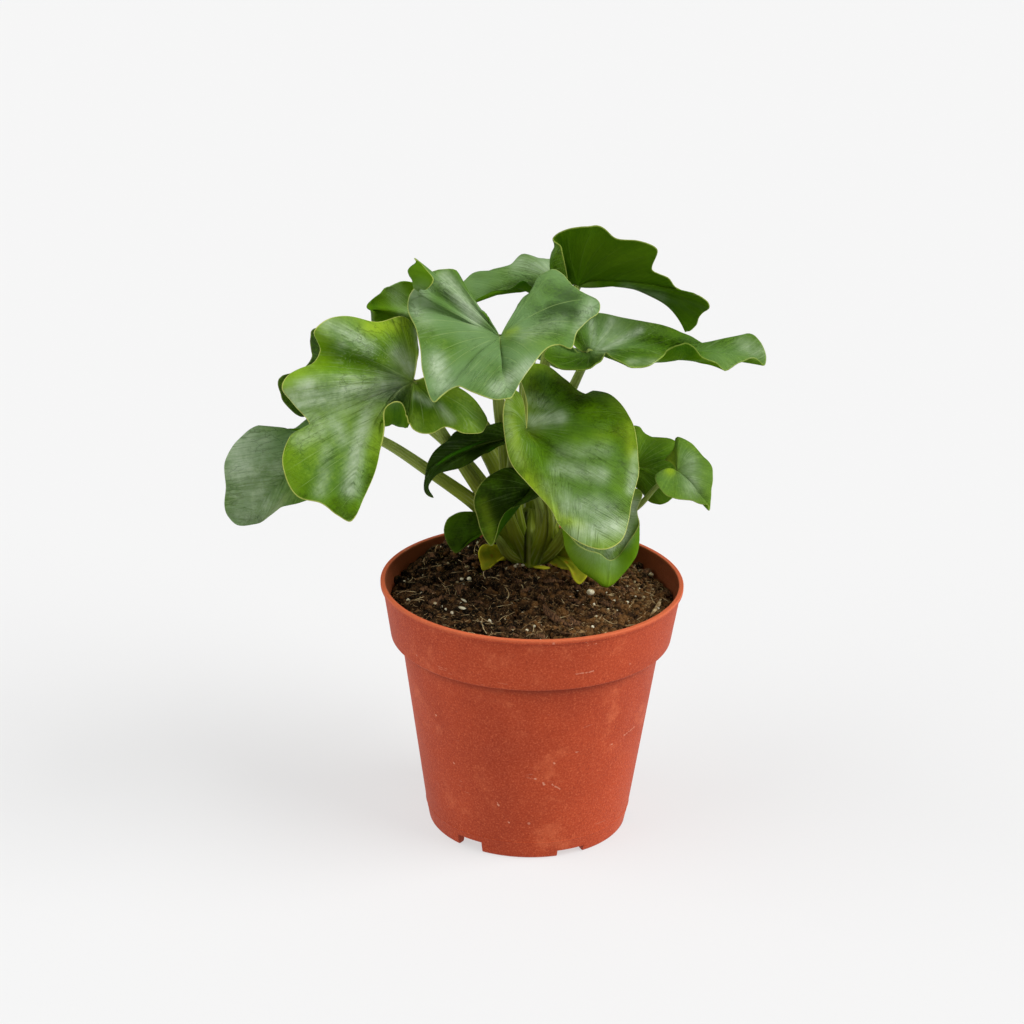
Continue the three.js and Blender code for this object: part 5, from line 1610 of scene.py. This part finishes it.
def pot_piece():
    """The thin-walled pot with its lip, band, foot ring, notches and drain holes."""
    p = POT
    floor = p["floor_lift"] + p["wall"]
    lip_foot = p["height"] - p["lip_drop"]
    seam = p["parting"]
    corners = [
        (0, 0, 0), (p["pad"], 0, 0.5), (p["pad"] + p["pad_slant"], p["floor_lift"], 0.5),
        (p["foot"] - p["foot_width"] - p["foot_slant"], p["floor_lift"], 0.5),
        (p["foot"] - p["foot_width"], 0, 0.4), (p["foot"] - 0.3, 0, p["foot_round"]),
        (wall_radius(seam - 0.25), seam - 0.25, 0), (wall_radius(seam) + 0.14, seam, 0),
        (wall_radius(seam + 0.25), seam + 0.25, 0),
        (p["shoulder"], BAND_FOOT, 0.9), (p["band_foot"] - 0.05, BAND_FOOT + 0.05, p["band_round"]),
        (p["band_top"], lip_foot, 0.3), (p["rim"] - 0.05, lip_foot, p["lip_round"]),
        (p["rim"], p["height"], p["lip_round"]),
        (p["band_top"] - p["wall"], p["height"], 1.2 * p["lip_round"]),
        (p["band_foot"] - p["wall"], BAND_FOOT + p["wall"] + p["step_lift"], 1),
        (p["shoulder"] - p["wall"], BAND_FOOT + p["wall"], 1),
        (wall_radius(floor) - p["wall"], floor, 1.5), (0, floor, 0),
    ]
    pot = lathe("nursery_pot", rounded(corners), 224, [POT_PLASTIC])
    for i in range(p["notches"]):
        turn = math.radians(p["notch_turn"] + 360 * i / p["notches"])
        notch_height = 2 * p["notch_heights"][i % 2]
        cut(pot, block(p["foot_width"] * 3, p["notch_width"], notch_height, (p["foot"], 0, 0), turn))
        cut(pot, rod(p["drain"], 4 * floor, (p["drain_ring"], 0, 0), turn))
    pot.data.set_sharp_from_angle(angle=math.radians(32))
    return pot


# Soil
def soil_level(x, y):
    """Height of the soil as its solid has it, heaped round the plant and against the back wall."""
    level = SOIL["level"]
    for heap in HEAPS:
        level = level + heap["height"] * bell(np.hypot(x - heap["x"], y - heap["y"]), heap["reach"])
    for clod in CLODS:
        level = level + clod["height"] * np.sin(clod["x"] * x + clod["y"] * y + clod["shift"])
    return level


def soil_detail(x, y):
    """Lumps and pits on the soil, in mm, and how far into a pit each point lies, 0 to 1, which also sets the
    pits' painted shade.
    """
    rng = np.random.default_rng(5)
    height = SOIL["rough"] * Noise(7).layers(x, y, SOIL["rough_length"], 4)
    for _ in range(SOIL["lumps"]):
        radius = rng.uniform(*SOIL["lump_radii"])
        cx, cy = rng.uniform(-SOIL["lump_field"], SOIL["lump_field"], 2)
        far = np.hypot(x - cx, (y - cy) * rng.uniform(*SOIL["lump_stretch"])) / radius
        lump = np.sqrt(np.clip(1 - far**2, 0, 1)) * radius * rng.uniform(*SOIL["lump_heights"])
        height = np.maximum(height, height * 0.4 + lump - 0.5)
    pits = smooth_step(0.25, 0.7, Noise(9).layers(x, y, SOIL["pit_length"], 3))
    return height - SOIL["pit_depth"] * pits, pits


def soil_reach(height):
    """Radius that the soil fills at a height within the pot's band, clear of the wall."""
    slope = (POT["band_top"] - POT["band_foot"]) / POT["band_height"]
    return POT["band_foot"] - POT["wall"] - GAP + slope * (height - BAND_FOOT)


def soil_piece():
    """The soil: a rough top over a plain body that fills the pot."""
    sides, rings = SOIL["sides"], SOIL["rings"]
    turn = full_turn(sides)
    around = np.stack([np.cos(turn), np.sin(turn)])
    rim = soil_level(*(around * soil_reach(SOIL["level"]))) - SOIL["edge_drop"]
    edge = soil_reach(rim)
    share = np.linspace(1, 0, rings, endpoint=False)[:, None] ** 0.85
    x, y = share * edge * around[0], share * edge * around[1]
    detail, pits = soil_detail(x, y)
    inner = smooth_step(1, 0.965, share)
    z = (soil_level(x, y) + detail) * inner + rim * (1 - inner)
    clear = POT["wall"] + GAP
    floor = POT["floor_lift"] + clear
    step = BAND_FOOT + POT["step_lift"] + clear
    lower = [
        (wall_radius(floor) - clear, floor),
        (wall_radius(BAND_FOOT - GAP) - clear - SOIL["trim"], BAND_FOOT - GAP),
        (POT["shoulder"] - clear - SOIL["trim"], step), (soil_reach(step) - GAP, step + POT["step_lift"]),
    ]
    walls = [np.stack([r * around[0], r * around[1], np.full(sides, h)], -1) for r, h in lower]
    points = np.concatenate([*walls, np.stack([x, y, z], -1).reshape(-1, 3)])
    rows = len(lower) + rings
    pit = np.concatenate([np.zeros(len(lower) * sides), pits.ravel(), [0, 0]])
    points = np.concatenate([points, [[0, 0, floor], [0, 0, float(z[-1].mean())]]])
    quads = strip_quads(rows, sides, True)
    return piece_of("potting_soil", points, quads, end_fans(rows, sides), [PEAT], {"pit": pit})


def on_soil(spots):
    """Where the viewer's rays meet the soil's surface, in mm, kept clear of the pot's wall."""
    way, start = rays(spots), eye()
    height = np.full(len(way), float(SOIL["level"]))
    for _ in range(6):
        points = start + way * ((height - start[2]) / way[:, 2])[:, None]
        height = soil_level(points[:, 0], points[:, 1]) + soil_detail(points[:, 0], points[:, 1])[0]
    far = np.hypot(points[:, 0], points[:, 1])
    points[:, :2] *= np.minimum(1, (soil_reach(SOIL["level"]) - SOIL["clear"]) / far)[:, None]
    return points


# Strewn grains and fibres
def strewing_sheet():
    """A throwaway sheet over the soil on which grains and fibres are strewn."""
    cells, bare_edge = 90, (1.2, 2.6)
    edge = soil_reach(SOIL["level"])
    axis = np.linspace(-edge, edge, cells)
    x, y = np.meshgrid(axis, axis)
    detail, _ = soil_detail(x, y)
    points = np.stack([x, y, soil_level(x, y) + detail * 0.8], -1).reshape(-1, 3)
    room = smooth_step(edge - bare_edge[0], edge - bare_edge[1], np.hypot(x, y)).ravel()
    by_crown = np.hypot(x - CROWN["x"], y - CROWN["y"]).ravel() > CROWN["radius"]
    spots = {"room": room * by_crown}
    return piece_of("strewing_sheet", points, strip_quads(cells, cells, False), spots=spots)


def strewn_tree(name, shape_inputs, build_shape):
    """Geometry nodes that strew a small shape over a sheet, each turned, sized and dented its own way."""
    inputs = [
        ("Sheet", "NodeSocketGeometry", None), ("Grains per m2", FLOAT, 1e5), ("Smallest", FLOAT, 0.5 * MM),
        ("Largest", FLOAT, 1.5 * MM), ("Flatness", FLOAT, 0.7), ("Tilt", FLOAT, 3.1), ("Dents", FLOAT, 0.4),
        ("Lift", FLOAT, 0), ("Seed", "NodeSocketInt", 1), ("Finish", "NodeSocketMaterial", None),
        *shape_inputs,
    ]
    g, given, put = new_group(name, inputs, [("Grains", "NodeSocketGeometry")], "GeometryNodeTree")
    room = g.add("GeometryNodeInputNamedAttribute", {"Name": "room"}, data_type="FLOAT").outputs["Attribute"]
    density = g.times(given["Grains per m2"], room)
    sown = {"Mesh": given["Sheet"], "Density": density, "Seed": given["Seed"]}
    strewn = g.add("GeometryNodeDistributePointsOnFaces", sown)

    def chance(low, high, shift, kind="FLOAT"):
        node = g.add("FunctionNodeRandomValue", data_type=kind)
        by_name = {socket.name: socket for socket in node.inputs if socket.enabled}
        g.put(by_name["Min"], low)
        g.put(by_name["Max"], high)
        g.put(by_name["Seed"], g.plus(given["Seed"], float(shift)))
        return next(socket for socket in node.outputs if socket.enabled)

    lean = g.joined(given["Tilt"], given["Tilt"], math.pi)
    lean_back = g.add("ShaderNodeVectorMath", {0: lean, 1: (-1, -1, -1)}, operation="MULTIPLY").outputs[0]
    turn = chance(lean_back, lean, 11, "FLOAT_VECTOR")
    turn = g.add("FunctionNodeEulerToRotation", {0: turn}).outputs[0]
    draw = g.math("POWER", chance(0, 1, 23), 2.2)
    spread = g.minus(given["Largest"], given["Smallest"])
    size = g.plus(given["Smallest"], g.times(spread, draw))
    wide = g.times(size, chance(0.65, 1, 37))
    flat = g.times(size, given["Flatness"])
    scale = g.joined(size, wide, flat)
    shape = build_shape(g, given)
    grains = {"Points": strewn.outputs["Points"], "Instance": shape, "Rotation": turn, "Scale": scale}
    placed = g.add("GeometryNodeInstanceOnPoints", grains)
    real = g.add("GeometryNodeRealizeInstances", {0: placed.outputs[0]}).outputs[0]
    where = g.add("GeometryNodeInputPosition").outputs[0]
    noise = g.add("ShaderNodeTexNoise", {"Vector": where, "Scale": 1400, "Detail": 1})
    push = g.times(g.minus(noise.outputs[0], 0.5), given["Dents"])
    push = g.times(push, given["Largest"])
    normal = g.add("GeometryNodeInputNormal").outputs[0]
    dent = g.add("ShaderNodeVectorMath", {0: normal, "Scale": push}, operation="SCALE").outputs[0]
    lift = g.add("ShaderNodeCombineXYZ", {2: given["Lift"]}).outputs[0]
    offset = g.add("ShaderNodeVectorMath", {0: dent, 1: lift}, operation="ADD").outputs[0]
    moved = g.add("GeometryNodeSetPosition", {"Geometry": real, "Offset": offset}).outputs[0]
    solid = g.add("GeometryNodeSetMaterial", {"Geometry": moved, "Material": given["Finish"]}).outputs[0]
    g.put(put["Grains"], solid)
    return g.tree


def lump(g, given):
    return g.add("GeometryNodeMeshIcoSphere", {"Radius": 1, "Subdivisions": given["Fineness"]}).outputs[0]


def fibre(g, given):
    bow = {"Start": (-1, 0, 0), "Middle": (0.1, 0.55, 0.3), "End": (1, 0, 0.05), "Resolution": 7}
    line = g.add("GeometryNodeCurveQuadraticBezier", bow).outputs[0]
    inputs = {"Radius": given["Thinness"], "Resolution": 5}
    ring = g.add("GeometryNodeCurvePrimitiveCircle", inputs, mode="RADIUS").outputs[0]
    swept = {"Curve": line, "Profile Curve": ring, "Fill Caps": True}
    return g.add("GeometryNodeCurveToMesh", swept).outputs[0]


def strew(name, sheet, tree, values, smooth):
    """Runs a strewing tree over the sheet and keeps the result as a plain mesh."""
    carrier = sheet.copy()
    carrier.data = sheet.data.copy()
    bpy.context.scene.collection.objects.link(carrier)
    modifier = carrier.modifiers.new("strewn", "NODES")
    modifier.node_group = tree
    sockets = {item.name: item.identifier for item in tree.interface.items_tree if item.in_out == "INPUT"}
    for key, value in values.items():
        modifier[sockets[key]] = value
    bpy.context.view_layer.update()
    evaluated = carrier.evaluated_get(bpy.context.evaluated_depsgraph_get())
    mesh = bpy.data.meshes.new_from_object(evaluated)
    mesh.name = name
    mesh.polygons.foreach_set("use_smooth", np.full(len(mesh.polygons), smooth))
    bpy.data.objects.remove(carrier)
    piece = bpy.data.objects.new(name, mesh)
    bpy.context.scene.collection.objects.link(piece)
    return piece


# What is strewn on the soil: name, shape, smoothness and the tree's inputs. Lengths are in mm here.
STREWN = (
    ("peat_crumbs", "lumps", True, {
        "Grains per m2": 5.6e5, "Smallest": 0.3, "Largest": 2.0, "Flatness": 0.75, "Dents": 0.7, "Seed": 3,
        "Finish": CRUMB, "Fineness": 1,
    }),
    ("perlite_grains", "lumps", True, {
        "Grains per m2": 3.4e4, "Smallest": 0.2, "Largest": 0.8, "Flatness": 0.8, "Dents": 0.5, "Lift": 0.25,
        "Seed": 8, "Finish": PERLITE, "Fineness": 2,
    }),
    ("bark_chips", "lumps", False, {
        "Grains per m2": 1.6e4, "Smallest": 0.9, "Largest": 3.0, "Flatness": 0.3, "Tilt": 0.5, "Dents": 0.3,
        "Lift": 0.3, "Seed": 15, "Finish": BARK, "Fineness": 2,
    }),
    ("peat_fibres", "fibres", True, {
        "Grains per m2": 7.5e4, "Smallest": 0.8, "Largest": 3.8, "Flatness": 0.7, "Tilt": 0.45, "Dents": 0.0,
        "Lift": 0.5, "Seed": 21, "Finish": FIBRE, "Thinness": 0.038,
    }),
)


def strewn_pieces():
    trees = {
        "lumps": strewn_tree("strewn_lumps", [("Fineness", "NodeSocketInt", 1)], lump),
        "fibres": strewn_tree("strewn_fibres", [("Thinness", FLOAT, 0.05)], fibre),
    }
    sheet = strewing_sheet()
    made = []
    for name, shape, smooth, values in STREWN:
        lengths = {key: values[key] * MM for key in ("Smallest", "Largest", "Lift") if key in values}
        made.append(strew(name, sheet, trees[shape], {**values, **lengths}, smooth))
    bpy.data.objects.remove(sheet)
    return made


# Single grains, straws and chips by where the viewer sees them: grains as across, down and size in mm, the
# others from and to across and down the view, with their width in mm
LOOSE_PERLITE = (
    (590.5, 594.4, 2.9), (663, 574, 1.9), (422, 566, 1.4), (435, 605, 1.6), (461.6, 580, 1.3),
    (469, 580, 1.7), (457, 583, 1.2), (467, 557, 1.3), (466, 567.5, 1), (473, 569, 1), (446, 610, 1.1),
    (399, 578, 1.3), (404.5, 582, 1), (482, 627, 1.4), (496, 633, 1.2), (527, 631, 1.1),
    (534.6, 627, 1.1), (502, 620, 1.1), (513, 620.6, 0.9), (596, 618, 1.4), (575, 620, 1),
    (620.6, 620.6, 1.1), (620.6, 605, 1), (570.6, 616, 1.1), (643.6, 598, 1), (541.7, 569, 1.3),
)
LOOSE_STRAWS = (
    (435, 560, 443, 558, 0.45), (503.5, 588, 503, 605, 0.3), (591, 611, 597, 615, 0.3),
    (581, 625, 592, 634, 0.35), (618.6, 592, 619, 601, 0.3), (622, 593, 624, 601, 0.3),
    (580, 590, 589, 602, 0.35), (551, 577, 556, 585, 0.35), (600, 640, 608, 632, 0.3),
    (560, 592, 566, 604, 0.3), (610, 586, 614, 600, 0.28), (632, 580, 640, 588, 0.3),
    (646, 612, 636, 622, 0.3), (470, 600, 478, 612, 0.25), (530, 600, 524, 612, 0.25),
    (486, 612, 494, 604, 0.28),
)
LOOSE_CHIPS = (
    (544, 606, 573, 629, 3.4, BARK), (661, 601, 650, 618, 1.5, FIBRE), (461, 601, 467, 604, 1.8, PERLITE),
    (458, 609, 466, 611, 1.6, PERLITE), (481, 575, 492, 588, 2.2, SHEATH_SKIN),
    (507, 562, 528, 563, 1.4, SHEATH_SKIN), (533, 569, 550, 570, 2.6, SHEATH_SKIN),
    (600, 604, 612, 609, 2.2, BARK), (520, 594, 532, 590, 2.4, BARK), (425, 590, 436, 596, 2.2, BARK),
    (560, 634, 572, 636, 2, BARK), (640, 572, 650, 580, 2.4, BARK),
)


# How flat each kind of loose piece is, how high its middle lies in mm (a grain's by its size) and its seed
LOOSE = {"grain": (0.8, 0.3, 0), "straw": (1, 0.8, 50), "chip": (0.45, 0.8, 90)}
DENT, ARCH = 0.09, 0.35


def drawn_out(start, end, width, flatness, lift, seed, fineness=2):
    """A dented grain drawn out between two points of the soil: its points and triangles."""
    ball = bmesh.new()
    bmesh.ops.create_icosphere(ball, subdivisions=fineness, radius=1)
    points = np.array([corner.co[:] for corner in ball.verts])
    triangles = np.array([[corner.index for corner in face.verts] for face in ball.faces])
    ball.free()
    rng = np.random.default_rng(seed)
    points *= 1 + rng.uniform(-DENT, DENT, (len(points), 1))
    along = (end - start) / 2
    if norm(along) < width / 2:
        along = np.array([width / 2, 0, 0])
    side = np.cross([0, 0, 1], along)
    side *= width / 2 / norm(side)
    middle = (start + end) / 2 + np.array([0, 0, lift])
    arch = rng.uniform(-ARCH, ARCH) * norm(along) * (1 - points[:, :1] ** 2)
    bent = arch * side / norm(side)
    thick = np.array([0, 0, flatness * width / 2])
    points = middle + points[:, :1] * along + points[:, 1:2] * side + points[:, 2:] * thick
    return points + (bent if norm(end - start) > 3 * width else 0), triangles


def joined(name, shapes, material):
    """One piece from several small closed shapes."""
    starts = np.cumsum([0] + [len(points) for points, _ in shapes[:-1]])
    triangles = np.concatenate([faces + start for (_, faces), start in zip(shapes, starts)])
    return piece_of(name, np.concatenate([points for points, _ in shapes]), (), triangles, [material])


def ends_on_soil(rows):
    """Where both ends of each row of a table lie on the soil."""
    return (on_soil([row[k : k + 2] for row in rows]) for k in (0, 2))


def loose_pieces():
    """The single grains, straws and chips."""
    flat, lift, seed = LOOSE["grain"]
    spots = on_soil([grain[:2] for grain in LOOSE_PERLITE])
    grains = [
        drawn_out(spot, spot, grain[2], flat, lift * grain[2], seed + i)
        for i, (spot, grain) in enumerate(zip(spots, LOOSE_PERLITE))
    ]
    flat, lift, seed = LOOSE["straw"]
    straws = [
        drawn_out(start, end, straw[4], flat, lift, seed + i)
        for i, (start, end, straw) in enumerate(zip(*ends_on_soil(LOOSE_STRAWS), LOOSE_STRAWS))
    ]
    made = [joined("loose_perlite", grains, PERLITE), joined("loose_straws", straws, FIBRE)]
    flat, lift, seed = LOOSE["chip"]
    for i, (start, end, chip) in enumerate(zip(*ends_on_soil(LOOSE_CHIPS), LOOSE_CHIPS)):
        shape = drawn_out(start, end, chip[4], flat, lift, seed + i, fineness=3)
        made.append(joined(f"loose_chip_{i + 1}", [shape], chip[5]))
    return made


# Stage
SKY = {"horizon": 0.08, "overhead": 0.5}
SOFT_BOXES = (
    # name, strength, width in degrees, and the way its light falls
    ("key", 3.1, 50, (-0.82, 0.2, -0.62)),
    ("fill", 1.5, 60, (0.82, 0.2, -0.62)),
)
FLOOR = {"reach": 12000, "drop": 0.05, "white": 0.27, "glow": 0.585}


def studio_sky():
    """Dim walls and a wide soft light overhead."""
    world = bpy.data.worlds.new("studio")
    world.use_nodes = True
    g = Tree(world.node_tree)
    up = g.split(g.add("ShaderNodeTexCoord").outputs["Generated"])[2]
    background = world.node_tree.nodes["Background"].inputs
    g.put(background["Strength"], g.fade(up, 0.15, 0.85, SKY["horizon"], SKY["overhead"]))
    background["Color"].default_value = (1, 1, 1, 1)
    return world


def floor_material():
    material = bpy.data.materials.new("studio_floor")
    material.use_nodes = True
    shader = material.node_tree.nodes["Principled BSDF"]
    shader.inputs["Base Color"].default_value = (FLOOR["white"],) * 3 + (1,)
    shader.inputs["Roughness"].default_value = 1
    shader.inputs["Specular IOR Level"].default_value = 0
    shader.inputs["Emission Color"].default_value = (1, 1, 1, 1)
    shader.inputs["Emission Strength"].default_value = FLOOR["glow"]
    return material


def stage():
    """A pale floor, soft light from above and the camera where the viewer stands."""
    scene = bpy.context.scene
    scene.view_settings.view_transform = "Standard"
    scene.world = studio_sky()
    far, low = FLOOR["reach"], -FLOOR["drop"]
    corners = [(-far, -far, low), (far, -far, low), (far, far, low), (-far, far, low)]
    piece_of("studio_floor", corners, [(0, 1, 2, 3)], materials=[floor_material()], smooth=False)

    for name, strength, width, fall in SOFT_BOXES:
        light = bpy.data.lights.new(name, "SUN")
        light.energy, light.angle = strength, math.radians(width)
        lamp = bpy.data.objects.new(name, light)
        scene.collection.objects.link(lamp)
        lamp.rotation_euler = Vector(fall).to_track_quat("-Z", "Y").to_euler()

    right, up, forward = view_axes()
    roll = math.radians(VIEW["roll"])
    across = right * math.cos(roll) + up * math.sin(roll)
    upright = up * math.cos(roll) - right * math.sin(roll)
    camera_data = bpy.data.cameras.new("viewer")
    camera_data.sensor_width = VIEW["film"]
    camera_data.lens = VIEW["focal"] / VIEW["size"] * camera_data.sensor_width
    camera_data.clip_start, camera_data.clip_end = VIEW["clip"]
    camera = bpy.data.objects.new("viewer", camera_data)
    scene.collection.objects.link(camera)
    axes = Matrix([across, upright, -forward]).transposed().to_4x4()
    camera.matrix_world = Matrix.Translation(Vector(eye()) * MM) @ axes
    scene.camera = camera


# Assembly
seat(pot_piece(), "terracotta_plastic", "pot")
seat(soil_piece(), "potting_soil", "soil")
for strewn in strewn_pieces() + loose_pieces():
    seat(strewn, "potting_soil")
seat(crown_piece(), "stalk_green", "crown")
for number, leaf in enumerate(LEAVES + REAR_LEAVES):
    look = dict(zip(LOOKS, FINISH[leaf["name"]]))
    blade = blade_piece("leaf_" + leaf["name"], leaf, look, [LEAF_UPPER, LEAF_UNDER], 100 + number)
    seat(blade, "leaf_green", "blade_" + leaf["name"])
    seat(stalk_piece(leaf), "stalk_green", "stalk_" + leaf["name"])
for number, sheath in enumerate(SHEATHS):
    look = dict(zip(LOOKS, FINISH["sheath_" + sheath["name"]]))
    skins = [SHEATH_SKIN, SHEATH_SKIN]
    piece = blade_piece("old_sheath_" + sheath["name"], sheath, look, skins, 200 + number)
    seat(piece, "sheath_yellow", "sheath_" + sheath["name"])
stage()
